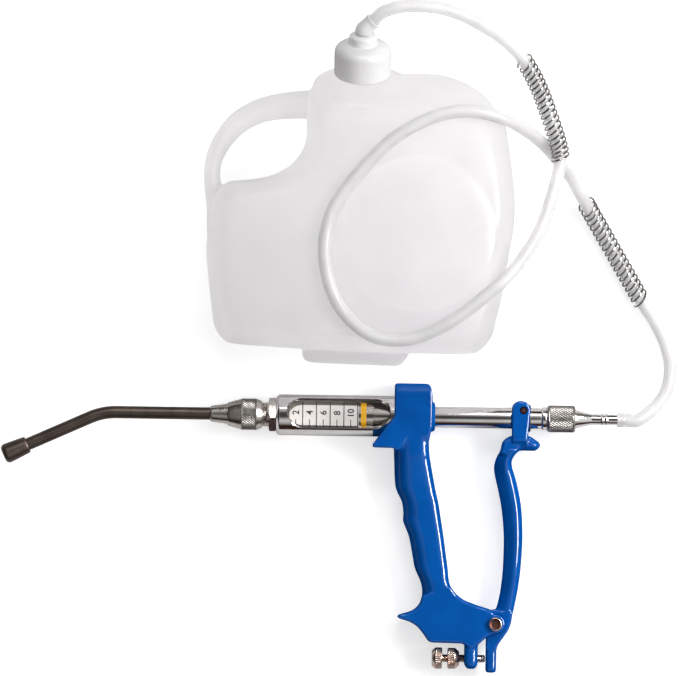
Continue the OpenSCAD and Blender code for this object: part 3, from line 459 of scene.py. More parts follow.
# Drawn spring wire is bright and clean, so its turns show as light and dark lines
WIRE = Plated("drawn_spring_wire", "#9C9A98", "#86827F", (0.06, 0.12), grain=0.3,
              grain_depth=0.002, cloud=3.0)
# Hammered rivet steel turns brown-red as its oil dries
RIVET = Plated("oiled_rivet_steel", "#6E4A42", "#4A3330", (0.3, 0.45), grain=0.5,
               grain_depth=0.01, cloud=3.0)
# The blown wall is thin and glows with what is behind it; the moulded cap is thicker and whiter
CAN_SKIN = MilkyPlastic("blown_milky_polyethylene")
CAP_SKIN = MilkyPlastic("moulded_milky_polyethylene", "#F4F3F4", "#EFEEEF", (0.26, 0.36),
                        passed=0.35)
# Extruded vinyl is hazy, clearest where it is looked through squarely
VINYL = ClearTube("clear_vinyl_hose")
# Polished glass shows what is behind it and mirrors the lamps at its rims
GLASS = SightGlass("polished_sight_glass")
# Moulded rubber is dull and nearly black
RUBBER = Dull("moulded_black_rubber")
# Bore lining: silvered and blasted, so that it spreads the light that the window lets in
LINING = Dull("blasted_silver_lining", "#DDDAD6", "#CBC8C3", (0.35, 0.5), size=0.8)
# The seal is a dull ochre moulding
SEAL = Dull("moulded_ochre_seal", "#F0BC1E", "#E4AA18", (0.3, 0.42), size=1.2)
# Fired print is a dull black film on the glass
INK = Dull("fired_black_print", "#17171A", "#2A2A2E", (0.35, 0.5), size=0.4)
# Studio paper is matt, so it shows only the soft shadow
PAPER = Paper("white_paper")


# Curves and skins, all in millimetres

def spline(points: np.ndarray, steps: int, closed: bool = False) -> np.ndarray:
    """Runs a smooth curve through points.

    Args:
        points: rows of any number of coordinates.
        steps: points made for each stretch.
        closed: whether the last point joins the first.

    Returns:
        The finer row of points; an open curve keeps its last point.
    """
    p = np.asarray(points, float)
    n = len(p)
    rows = []
    for i in range(n if closed else n - 1):
        ids = [i - 1, i, i + 1, i + 2]
        ids = [k % n for k in ids] if closed else [min(max(k, 0), n - 1) for k in ids]
        a, b, c, d = (p[k] for k in ids)
        for t in np.arange(steps) / steps:
            rows.append((2 * b + (c - a) * t + (2 * a - 5 * b + 4 * c - d) * t ** 2
                         + (3 * b - a - 3 * c + d) * t ** 3) / 2)
    if not closed:
        rows.append(p[-1])
    return np.array(rows)


def eased(profile: Sequence[Sequence[float]], reach: float, closed: bool = True,
          steps: int = 3) -> np.ndarray:
    """Rounds the corners of a flat outline.

    Args:
        profile: points of the outline.
        reach: how far from a corner its rounding starts.
        closed: whether the outline is a loop; an open one keeps both ends.
        steps: pieces of each rounding.

    Returns:
        The rounded outline.
    """
    p = np.asarray(profile, float)
    n = len(p)
    rows = []
    for i in range(n):
        if not closed and i in (0, n - 1):
            rows.append(p[i])
            continue
        before, after = p[(i - 1) % n] - p[i], p[(i + 1) % n] - p[i]
        b, a = np.linalg.norm(before), np.linalg.norm(after)
        cut = min(reach, 0.45 * a, 0.45 * b)
        start, stop = p[i] + before / b * cut, p[i] + after / a * cut
        for t in np.linspace(0, 1, steps + 1):
            rows.append((1 - t) ** 2 * start + 2 * t * (1 - t) * p[i] + t ** 2 * stop)
    return np.array(rows)


def grid_skin(grid: np.ndarray, loop_rows: bool = False, ends: bool = False) -> Skin:
    """Joins a grid of points into quads; the last column joins the first.

    Args:
        grid: points by row and column.
        loop_rows: whether the last row joins the first.
        ends: whether the first and last row are closed with a face.

    Returns:
        Points and faces.
    """
    rows, cols = grid.shape[:2]
    faces: Faces = []
    for i in range(rows if loop_rows else rows - 1):
        a, b = i * cols, (i + 1) % rows * cols
        for k in range(cols):
            m = (k + 1) % cols
            faces.append((a + k, a + m, b + m, b + k))
    if ends:
        faces.append(tuple(range(cols - 1, -1, -1)))
        faces.append(tuple((rows - 1) * cols + k for k in range(cols)))
    return grid.reshape(-1, 3), faces


def joined(skins: Sequence[Skin]) -> Skin:
    """Puts several skins into one.

    Args:
        skins: the skins.

    Returns:
        Points and faces of them all.
    """
    points: List[np.ndarray] = []
    faces: Faces = []
    start = 0
    for verts, polys in skins:
        faces += [tuple(k + start for k in poly) for poly in polys]
        points.append(verts)
        start += len(verts)
    return np.vstack(points), faces


def turned(profile: np.ndarray, sides: int = 96, shape: Optional[Relief] = None,
           solid: bool = False) -> Skin:
    """Turns a profile about the X axis.

    Args:
        profile: rows of place along the axis and radius.
        sides: points round the axis.
        shape: changes the radius, given place, angle and radius.
        solid: whether the profile starts and ends on the axis, else it is a loop.

    Returns:
        Points and faces.
    """
    angle = np.linspace(0, 2 * math.pi, sides, endpoint=False)[None, :]
    x = profile[:, :1] + 0 * angle
    r = profile[:, 1:2] + 0 * angle
    if shape is not None:
        r = shape(x, angle + 0 * x, r)
    return grid_skin(np.stack([x, r * np.cos(angle), r * np.sin(angle)], axis=-1), not solid)


def filled(profile: np.ndarray, start: float, stop: float, step: float) -> np.ndarray:
    """Adds rows to a profile, so that a pattern there has points to stand on.

    Args:
        profile: rows of place along the axis and radius.
        start: where the finer rows start.
        stop: where they end.
        step: distance between them.

    Returns:
        The finer profile.
    """
    rows = [profile[0]]
    for a, b in zip(profile[:-1], profile[1:]):
        if min(a[0], b[0]) >= start - 1e-6 and max(a[0], b[0]) <= stop + 1e-6:
            count = max(int(abs(b[0] - a[0]) / step), 1)
            rows += [a + (b - a) * k / count for k in range(1, count)]
        rows.append(b)
    return np.array(rows)


def wave(value: np.ndarray) -> np.ndarray:
    """Triangle wave from nought to one and back over each whole number."""
    return 1 - np.abs(2 * (value - np.floor(value)) - 1)


def faded(x: np.ndarray, start: float, stop: float, fade: float) -> np.ndarray:
    """One between two places along the axis, fading to nought at both."""
    return np.clip((x - start) / fade, 0, 1) * np.clip((stop - x) / fade, 0, 1)


@dataclass(frozen=True)
class Knurl:
    """Diamond knurl rolled into a band of a turned piece."""

    start: float
    stop: float
    least: float
    teeth: int
    pitch: float
    depth: float

    def __call__(self, x: np.ndarray, angle: np.ndarray, r: np.ndarray) -> np.ndarray:
        """Cuts the knurl into the radius.

        Args:
            x: place of each point along the axis.
            angle: its angle round the axis.
            r: its plain radius.

        Returns:
            The radius of each point.
        """
        lean, turn = x / self.pitch, angle * self.teeth / (2 * math.pi)
        high = np.minimum(wave(turn + lean), wave(turn - lean))
        cut = self.depth * faded(x, self.start, self.stop, 0.5) * (1 - 1.6 * np.minimum(high, 0.62))
        return r - np.where(r > self.least, cut, 0)


@dataclass(frozen=True)
class Thread:
    """Screw thread cut into a stretch of a turned piece."""

    start: float
    stop: float
    least: float
    pitch: float
    depth: float

    def __call__(self, x: np.ndarray, angle: np.ndarray, r: np.ndarray) -> np.ndarray:
        """Cuts the thread into the radius.

        Args:
            x: place of each point along the axis.
            angle: its angle round the axis.
            r: its plain radius.

        Returns:
            The radius of each point.
        """
        groove = wave(x / self.pitch - angle / (2 * math.pi))
        cut = self.depth * faded(x, self.start, self.stop, 0.4) * groove
        return r - np.where(r > self.least, cut, 0)


@dataclass(frozen=True)
class Ribs:
    """Fine grip ribs along a band of a moulded piece."""

    start: float
    stop: float
    least: float
    count: int
    depth: float

    def __call__(self, x: np.ndarray, angle: np.ndarray, r: np.ndarray) -> np.ndarray:
        """Cuts the grooves between the ribs into the radius.

        Args:
            x: place of each point along the axis.
            angle: its angle round the axis.
            r: its plain radius.

        Returns:
            The radius of each point.
        """
        skirt = np.clip((x - self.start) / 0.8, 0, 1) * np.clip((self.stop - x) / 1.0, 0, 1)
        cut = self.depth * skirt * (0.5 - 0.5 * np.cos(self.count * angle))
        return r - np.where(r > self.least, cut, 0)


def swept(path: np.ndarray, radius: np.ndarray, sides: int,
          inner: Optional[np.ndarray] = None) -> Skin:
    """Sweeps a round tube along a path.

    Args:
        path: points of the middle line.
        radius: radius at each point.
        sides: points round the tube.
        inner: radius of the bore at each point, or none for a solid tube.

    Returns:
        Points and faces.
    """
    ahead = np.gradient(path, axis=0)
    ahead /= np.linalg.norm(ahead, axis=1)[:, None]
    side = np.cross(ahead[0], (0.0, 0.0, 1.0))
    first = []
    for t in ahead:
        side = side - t * side.dot(t)
        side = side / np.linalg.norm(side)
        first.append(side)
    one = np.array(first)
    two = np.cross(ahead, one)
    angle = np.linspace(0, 2 * math.pi, sides, endpoint=False)
    ring = (np.cos(angle)[None, :, None] * one[:, None, :]
            + np.sin(angle)[None, :, None] * two[:, None, :])
    outer = path[:, None, :] + radius[:, None, None] * ring
    if inner is None:
        return grid_skin(outer, ends=True)
    bore = path[:, None, :] + inner[:, None, None] * ring
    return grid_skin(np.concatenate([outer, bore[::-1]]), loop_rows=True)


def plate(outline: np.ndarray, low: float, high: float, edge: float,
          top: Optional[Callable[[np.ndarray, float], np.ndarray]] = None) -> Skin:
    """Flat plate with rounded edges, standing on the XY plane.

    Args:
        outline: points of its outline.
        low: its underside.
        high: its upper side.
        edge: radius of its edges.
        top: changes the outline at one height.

    Returns:
        Points and faces.
    """
    p = np.asarray(outline, float)
    x, y = p[:, 0], p[:, 1]
    if np.sum(x * np.roll(y, -1) - np.roll(x, -1) * y) < 0:
        p = p[::-1]
    along = np.roll(p, -1, axis=0) - p
    along /= np.linalg.norm(along, axis=1)[:, None]
    out = np.stack([along[:, 1], -along[:, 0]], axis=1)
    corner = out + np.roll(out, 1, axis=0)
    corner /= np.maximum(np.sum(corner * corner, axis=1), 0.9)[:, None] / 2
    rows = []
    swing = np.linspace(0, math.pi / 2, 5)
    levels = [(low + edge * (1 - math.cos(a)), edge * (1 - math.sin(a))) for a in swing]
    levels += [(high - edge * (1 - math.cos(a)), edge * (1 - math.sin(a))) for a in swing[::-1]]
    if top is not None:
        levels = sorted(levels + [(z, 0.0) for z in np.linspace(low + edge, high - edge, 24)[1:-1]])
    for z, inset in levels:
        flat = p - corner * inset
        flat = flat if top is None else top(flat, z)
        rows.append(np.column_stack([flat, np.full(len(p), z)]))
    return grid_skin(np.array(rows), ends=True)


def oval(a: float, b: float, front: float, rear: float, sides: int) -> np.ndarray:
    """Rounded section whose front and rear halves have their own fullness.

    Args:
        a: half its length.
        b: half its width.
        front: fullness of the front half, from 2 for an ellipse upwards.
        rear: fullness of the rear half.
        sides: points round it.

    Returns:
        The section's points.
    """
    t = np.linspace(0, 2 * math.pi, sides, endpoint=False)
    c, s = np.cos(t), np.sin(t)
    power = np.where(c < 0, front, rear)
    return np.column_stack([a * np.sign(c) * np.abs(c) ** (2 / power),
                            b * np.sign(s) * np.abs(s) ** (2 / power)])


# Pieces in the scene

def smooth(mesh: bpy.types.Mesh, sharp: float) -> None:
    """Shades a mesh smooth but for edges sharper than an angle in degrees."""
    mesh.polygons.foreach_set("use_smooth", [True] * len(mesh.polygons))
    mesh.set_sharp_from_angle(angle=math.radians(sharp))


def make_object(name: str, skin: Skin, sharp: float = 35.0) -> bpy.types.Object:
    """Makes a mesh object from a skin in millimetres.

    Args:
        name: name of the piece.
        skin: points and faces.
        sharp: angle in degrees above which an edge stays crisp.

    Returns:
        The new object, at the frame's origin.
    """
    mesh = bpy.data.meshes.new(name)
    mesh.from_pydata((skin[0] * MM).tolist(), [], skin[1])
    work = bmesh.new()
    work.from_mesh(mesh)
    bmesh.ops.remove_doubles(work, verts=work.verts, dist=1e-7)
    bmesh.ops.recalc_face_normals(work, faces=work.faces)
    work.to_mesh(mesh)
    work.free()
    smooth(mesh, sharp)
    made = bpy.data.objects.new(name, mesh)
    bpy.context.collection.objects.link(made)
    return made


def baked(obj: bpy.types.Object) -> None:
    """Turns an object's modifiers into its mesh.

    Args:
        obj: the object.
    """
    graph = bpy.context.evaluated_depsgraph_get()
    mesh = bpy.data.meshes.new_from_object(obj.evaluated_get(graph))
    obj.modifiers.clear()
    obj.data = mesh


def cast(name: str, skins: Sequence[Skin], grain: float, rounds: int) -> bpy.types.Object:
    """Fuses overlapping skins into one casting with softened inner corners.

    Args:
        name: name of the piece.
        skins: the shapes that make it up.
        grain: width in millimetres of the cells it is fused in.
        rounds: rounds of smoothing.

    Returns:
        The new object.
    """
    made = make_object(name, joined(skins))
    fuse = made.modifiers.new("fuse", "REMESH")
    fuse.mode = "VOXEL"
    fuse.voxel_size = grain * MM
    ease = made.modifiers.new("ease", "SMOOTH")
    ease.factor = 0.5
    ease.iterations = rounds
    baked(made)
    return made


def bored(obj: bpy.types.Object, cutters: Sequence[Skin], sharp: float = 35.0) -> None:
    """Cuts skins out of an object and leaves crisp rims.

    Args:
        obj: the object.
        cutters: the skins that are cut out.
        sharp: angle in degrees above which an edge stays crisp.
    """
    for number, skin in enumerate(cutters):
        tool = make_object("cutter_%d" % number, skin)
        cut = obj.modifiers.new("bore", "BOOLEAN")
        cut.operation = "DIFFERENCE"
        cut.solver = "MANIFOLD"
        cut.object = tool
        baked(obj)
        bpy.data.objects.remove(tool)
    smooth(obj.data, sharp)


def dress(obj: bpy.types.Object, finish: Finish, body: Optional[Body], slot: Slot,
          *nodes: str) -> bpy.types.Object:
    """Gives a piece its finish, its body and the nodes that it stands for.

    Args:
        obj: the piece.
        finish: its surface.
        body: the body it rides on, or none where it bends between two.
        slot: a material slot; not used.
        nodes: CAD nodes that it replaces.

    Returns:
        The piece.
    """
    obj.data.materials.clear()
    obj.data.materials.append(finish.material())
    if body is not None:
        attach(obj, body.value)
    if nodes:
        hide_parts(*nodes)
    LOG.info("%s: %d faces, stands for %s", obj.name, len(obj.data.polygons),
             ", ".join(nodes) or "itself")
    return obj


# Places on the gun in millimetres: its axes in the frame, the lever's pivot and the screw's height
GUN = np.array([22.1, -121.3, 14.5])
PIVOT = (64.5, -127.68)
SCREW_Y = -149.48
# Angle in degrees above which an edge of a turned piece stays crisp
CRISP = 28.0
# Half length in millimetres of a cutter that goes through any casting
THROUGH = 20.0


def part_finished(obj: bpy.types.Object, finish: Finish,
                  where: Callable[[np.ndarray], bool]) -> None:
    """Gives some faces of a dressed piece a second finish.

    Args:
        obj: the piece.
        finish: the second surface.
        where: says of a face's middle, in the gun's own axes, whether it has that surface.
    """
    obj.data.materials.append(finish.material())
    for face in obj.data.polygons:
        if where(np.array(face.center) / MM - GUN):
            face.material_index = 1


def moved(skin: Skin, by: Sequence[float]) -> Skin:
    """Moves a skin by a distance along each axis."""
    return skin[0] + np.array(by), skin[1]


def circle(r: float, sides: int) -> np.ndarray:
    """Points of a flat circle about the origin."""
    return r * np.array([[math.cos(a), math.sin(a)]
                         for a in np.linspace(0, 2 * math.pi, sides, False)])


def on_gun(skin: Skin, dx: float = 0.0, dy: float = 0.0) -> Skin:
    """Moves a skin from the gun's own axes, or a place on it, to the frame."""
    return skin[0] + GUN + np.array([dx, dy, 0.0]), skin[1]


def rod(start: float, stop: float, r: float, sides: int = 64) -> Skin:
    """Plain round cutter along X."""
    return turned(np.array([[start, 0.0], [start, r], [stop, r], [stop, 0.0]]), sides, solid=True)


def pin(r: float, half: float, sides: int = 64) -> Skin:
    """Plain round cutter along Z, the same length each way."""
    verts, faces = rod(-half, half, r, sides)
    return verts[:, [1, 2, 0]], faces


def block(low: Sequence[float], high: Sequence[float]) -> Skin:
    """Plain square cutter.

    Args:
        low: its lowest corner.
        high: its highest corner.

    Returns:
        Points and faces.
    """
    outline = np.array([[low[0], low[1]], [high[0], low[1]], [high[0], high[1]], [low[0], high[1]]])
    rows = [np.column_stack([outline, np.full(4, z)]) for z in (low[2], high[2])]
    return grid_skin(np.array(rows), ends=True)


def table(rows: Sequence[Sequence[float]]) -> Any:
    """Dataclass field that holds a table of points."""
    return field(default_factory=lambda: np.array(rows, float))


# Hose and its guards

@dataclass
class Hose:
    """Clear hose from the cap's spout to the gun, with a guard spring near each end."""

    diameter: float = 8.0
    bore: float = 5.0
    wire: float = 1.2
    guard_r: float = 5.3
    guard_lean: Tuple[float, float] = (0.3, 0.42)
    # Upper and lower guard spring: first and last place by the number of the route's point
    spans: Tuple[Tuple[float, float], Tuple[float, float]] = ((8.4, 13.2), (42.6, 47.0))
    turns: Tuple[int, int] = (20, 19)
    # Start, length and direction of a stretch of the hose near the plunger
    bend_start: Tuple[float, float, float] = (176.0, -50.0, 6.1)
    bend_run: float = 60.0
    bend_way: Tuple[float, float, float] = (0.35, -0.937, 0.0)
    route: np.ndarray = table([
        [5.36, 122.99, 69.47], [11.02, 128.12, 71.86], [21, 131.5, 72.5], [34, 132.5, 70],
        [48, 131, 66], [61, 127, 61.5], [73, 121, 58], [85, 113.5, 55.5], [95, 104.5, 53.5],
        [103, 93, 52.5], [109, 81, 52], [114, 68, 52], [119, 54, 52.3], [122, 42, 53],
        [121, 31, 55.5], [117, 15, 61], [110, -5, 69], [101, -20, 76.5], [91, -33, 82.5],
        [78, -45, 86.6], [61, -58.5, 86.8], [47, -67, 86.5], [33, -72.5, 86.4], [19, -74, 86.3],
        [5, -70.5, 86.4], [-9, -59, 86.8], [-18, -44, 86.8], [-22.5, -25, 86.5], [-22, -8, 86.5],
        [-17, 8, 86.5], [-7, 23, 86.6], [6, 38, 86.8], [18, 49.5, 86.6], [31, 58, 86],
        [45, 64.5, 84.6], [59, 67.5, 82.6], [73, 67, 79.4], [87, 63.5, 73], [100, 57, 61],
        [110, 50, 47.5], [119, 41, 35.5], [128, 30.5, 24], [135, 19, 15], [142, 7.5, 9],
        [150, -6, 6.4], [158, -19.5, 6.1], [166, -33, 6.1], [174, -46.5, 6.1], [183, -60, 5],
        [189.5, -73, 4.5], [193, -87, 4.6], [191.5, -101, 6.2], [185, -112, 9.5],
        [173.4, -121.3, 14.5], [165.4, -121.3, 14.5]])

    def build(self) -> None:
        path = spline(self.route, 8)
        # The last millimetres lie over the barb, which swells the hose
        lap = np.linspace(5.0, 1.0, 5)[:, None] * np.array([-1.0, 0.0, 0.0])
        path = np.vstack([path, path[-1] + lap[::-1]])
        count = len(path)
        swell = np.zeros(count)
        swell[-6:] = np.linspace(0.1, 0.75, 6)
        skin = swept(path, self.diameter / 2 + swell, 24, self.bore / 2 + swell * 1.7)
        hose = dress(make_object("hose", skin), VINYL, None, Slot.HOSE, "hose_main", "hose_tail")
        upper = dress(make_object("guard_spring_upper", self.guard(0)), WIRE, Body.BASE, Slot.STEEL,
                      "hose_spring_upper")
        lower = dress(make_object("guard_spring_lower", self.guard(1)), WIRE, Body.BASE, Slot.STEEL,
                      "hose_spring_lower")
        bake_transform(hose)

    def guard(self, which: int) -> Skin:
        """Helix of wire round one stretch of the hose, its turns leaning as on a pulled spring.

        Args:
            which: 0 for the upper spring, 1 for the lower one.

        Returns:
            Points and faces.
        """
        per_turn, fineness = 28, 40
        steps = self.turns[which] * per_turn
        fine = spline(self.route, fineness)
        u = np.linspace(self.spans[which][0], self.spans[which][1], steps + 1) * fineness
        places = np.arange(len(fine))
        middle = np.stack([np.interp(u, places, fine[:, k]) for k in range(3)], axis=1)
        ahead = np.gradient(middle, axis=0)
        ahead /= np.linalg.norm(ahead, axis=1)[:, None]
        one = np.cross(ahead, (0.0, 0.0, 1.0))
        one /= np.linalg.norm(one, axis=1)[:, None]
        two = np.cross(ahead, one)
        angle = 2 * math.pi * np.arange(steps + 1) / per_turn
        lean = self.guard_lean[0] * np.cos(angle) - self.guard_lean[1] * np.sin(angle)
        coil = middle + self.guard_r * (np.cos(angle)[:, None] * one + np.sin(angle)[:, None] * two
                                        + lean[:, None] * ahead)
        return swept(coil, np.full(len(coil), self.wire / 2), 10)


# Can, cap and spout

CAN_NODES = ["can_back_shell", "can_front_shell", "can_back_shoulder", "can_front_shoulder",
             "can_handle", "can_tower"]


@dataclass
class Can:
    """Blow-moulded shoulder can with a handle, a leaning tower and a screw cap."""

    width: float = 190.0
    height: float = 174.0
    depth: float = 82.0
    power: float = 2.2
    # Round panel: its middle, radius and rise
    panel: Tuple[float, float, float, float] = (35.0, -8.0, 48.0, 3.6)
    panel_root: float = 3.0
    handle_half: Tuple[float, float] = (9.0, 12.0)
    lug_half: float = 11.0
    tower_sink: float = 12.0
    tower_r: float = 30.8
    tower_len: float = 23.6
    neck_base: float = 31.2
    neck_top: float = 44.2
    neck_r: float = 15.0
    cap_r: float = 17.6
    cap_bore: float = 15.3
    cap_foot: float = 31.5
    cap_edge: float = 46.0
    cap_dome: float = 6.0
    cap_roof: float = 45.4
    boss_top: float = 58.0
    boss_bore: float = 4.3
    spout_bore: float = 2.4
    root: np.ndarray = table([-1.0, 61.944, 41.0])
    lean: float = 25.0
    # Rim and flat face at each point of the outline, as shares of the width and height
    outline: np.ndarray = table([
        [0.137, 0.523, 0.126, 0.264], [0, 0.512, 0, 0.259], [-0.137, 0.494, -0.074, 0.253],
        [-0.179, 0.448, -0.103, 0.241], [-0.184, 0.356, -0.116, 0.218],
        [-0.19, 0.264, -0.129, 0.19], [-0.232, 0.195, -0.174, 0.126],
        [-0.295, 0.155, -0.263, 0.089], [-0.368, 0.138, -0.347, 0.072],
        [-0.442, 0.126, -0.4, 0.052], [-0.484, 0.069, -0.421, 0.023],
        [-0.495, -0.011, -0.429, -0.023], [-0.505, -0.103, -0.437, -0.103],
        [-0.5, -0.184, -0.432, -0.178], [-0.487, -0.299, -0.42, -0.287],
        [-0.474, -0.385, -0.405, -0.335], [-0.442, -0.434, -0.388, -0.362],
        [-0.395, -0.448, -0.35, -0.378], [-0.205, -0.46, -0.205, -0.385],
        [0.158, -0.471, 0.158, -0.397], [0.347, -0.471, 0.312, -0.397],
        [0.395, -0.454, 0.352, -0.382], [0.429, -0.408, 0.374, -0.352],
        [0.442, -0.351, 0.382, -0.328], [0.4605, -0.264, 0.395, -0.247],
        [0.4815, -0.115, 0.413, -0.106], [0.496, -0.011, 0.426, -0.012],
        [0.497, 0.086, 0.426, 0.058], [0.484, 0.213, 0.41, 0.138], [0.466, 0.333, 0.384, 0.201],
        [0.442, 0.385, 0.363, 0.224], [0.379, 0.463, 0.316, 0.25], [0.305, 0.504, 0.268, 0.262],
        [0.232, 0.523, 0.21, 0.266]])
    # Middle of the handle, as shares of the width and height, and of its two half sizes
    handle: np.ndarray = table([
        [-0.13, 0.408, 1.02, 1.1], [-0.21, 0.406, 0.96, 1.05], [-0.29, 0.396, 0.88, 1],
        [-0.35, 0.376, 0.82, 1], [-0.41, 0.336, 0.76, 1], [-0.452, 0.282, 0.68, 1],
        [-0.48, 0.222, 0.6, 0.96], [-0.49, 0.168, 0.56, 0.92], [-0.487, 0.11, 0.58, 0.92],
        [-0.479, 0.04, 0.58, 0.92], [-0.478, -0.04, 0.56, 0.9], [-0.474, -0.12, 0.5, 0.86]])
    lug: np.ndarray = table([
        [0.158, -0.455], [0.158, -0.48], [0.131, -0.518], [-0.157, -0.51], [-0.184, -0.499],
        [-0.19, -0.455]])

    def at_neck(self, skin: Skin) -> Skin:
        """Stands a skin that was turned about X on the leaning neck.

        Args:
            skin: points and faces.

        Returns:
            The same skin in the frame.
        """
        lean = math.radians(self.lean)
        axis = np.array([0.0, math.cos(lean), math.sin(lean)])
        across = np.array([1.0, 0.0, 0.0])
        verts = skin[0]
        return (self.root + verts[:, :1] * axis + verts[:, 1:2] * across
                + verts[:, 2:3] * np.cross(axis, across)), skin[1]

    def slab(self) -> Skin:
        """The body, bellied from its flat front and back to its outline.

        Returns:
            Points and faces.
        """
        rows = []
        for angle in np.radians(np.linspace(-90, 90, 25)):
            inset = 1 - max(math.cos(angle), 0.0) ** (2 / self.power)
            level = self.outline[:, :2] + (self.outline[:, 2:] - self.outline[:, :2]) * inset
            ring = spline(level * np.array([self.width, self.height]), 5, closed=True)
            rise = abs(math.sin(angle)) ** (2 / self.power) * math.copysign(self.depth / 2, angle)
            rows.append(np.column_stack([ring, np.full(len(ring), self.depth / 2 + rise)]))
        return grid_skin(np.array(rows), ends=True)

    def grip(self) -> Skin:
        """The handle that runs from the tower to the left side.

        Returns:
            Points and faces.
        """
        path = spline(self.handle * np.array([self.width, self.height, *self.handle_half]), 5)
        ahead = np.gradient(path[:, :2], axis=0)
        ahead /= np.linalg.norm(ahead, axis=1)[:, None]
        rows = []
        for spot, way in zip(path, ahead):
            ring = oval(spot[2], spot[3], self.power, self.power, 40)
            rows.append(np.column_stack([
                spot[0] - ring[:, 0] * way[1], spot[1] + ring[:, 0] * way[0],
                self.depth / 2 + ring[:, 1]]))
        return grid_skin(np.array(rows), ends=True)

    def belly(self) -> Skin:
        """The round panel that stands out of the front.

        Returns:
            Points and faces.
        """
        x, y, r, rise = self.panel
        root = self.depth - self.panel_root
        rows = [[root, 0.0], [root, r], [self.depth, r]]
        rows += [[self.depth + rise * (1 - k ** 7), r * k] for k in np.linspace(0.98, 0.0, 24)]
        verts, faces = turned(np.array(rows), 128, solid=True)
        return verts[:, [1, 2, 0]] + np.array([x, y, 0.0]), faces

    def build(self) -> None:
        """Makes the can, its cap and the spout."""
        tower = eased([[-self.tower_sink, 0.0], [-self.tower_sink, self.tower_r],
                       [self.tower_len, self.tower_r], [self.neck_base, self.neck_r],
                       [self.neck_top, self.neck_r], [self.neck_top, 0.0]],
                      1.1, closed=False, steps=5)
        middle = self.depth / 2
        lug = plate(eased(self.lug * np.array([self.width, self.height]), 4.0),
                    middle - self.lug_half, middle + self.lug_half, 2.5)
        body = cast("can", [self.slab(), self.grip(), self.belly(), lug,
                            self.at_neck(turned(tower, 128, solid=True))],
                    grain=0.75, rounds=3)
        smooth(body.data, 60.0)
        dress(body, CAN_SKIN, Body.BASE, Slot.PLASTIC, *CAN_NODES)
        self.cap()
        self.spout()

    def cap(self) -> None:
        """Screw cap: ribbed skirt, domed shoulder and the spout's boss."""
        half, top = self.cap_r / 2, self.boss_top
        rows = [[self.cap_foot, self.cap_bore], [self.cap_foot, self.cap_r], [45.2, self.cap_r]]
        rows += [[self.cap_edge + self.cap_dome * math.sin(a), half + half * math.cos(a)]
                 for a in np.radians(range(0, 91, 10))]
        rows += [[56.6, 8.7], [57.6, 7.8], [top, 6.4], [top, self.boss_bore],
                 [self.cap_roof, self.boss_bore], [self.cap_roof, self.cap_bore]]
        profile = filled(eased(rows, 0.8), self.cap_foot, self.cap_edge, 1.0)
        ribs = Ribs(32.2, 45.0, least=17.0, count=60, depth=0.12)
        made = make_object("screw_cap", self.at_neck(turned(profile, 480, ribs)), 50.0)
        dress(made, CAP_SKIN, Body.CAP, Slot.PLASTIC, "can_cap")

    def spout(self) -> None:
        """Swivel spout that bends out of the cap's boss to take the hose."""
        bend = [[0.0, x, 0.0] for x in (43.7, 50.0, 56.0, 58.6)]
        bend += [[1.0, 61.2, 0.0], [2.9, 63.9, 0.0], [4.6, 65.6, 0.0], [6.36, 67.36, 0.0]]
        flat = spline(np.array(bend), 5)
        far = np.linspace(0, 1, len(flat))
        radius = np.interp(far, [0, 0.42, 0.45, 0.56, 0.72, 0.9, 0.92, 1.0],
                           [4.2, 4.2, 5.4, 5.7, 5.0, 4.8, 5.2, 5.2])
        verts, faces = swept(flat, radius, 40, np.full(len(flat), self.spout_bore))
        made = make_object("hose_spout", self.at_neck((verts[:, [1, 0, 2]], faces)), 45.0)
        dress(made, CAP_SKIN, Body.BASE, Slot.PLASTIC, "cap_spout")


# Gun: castings

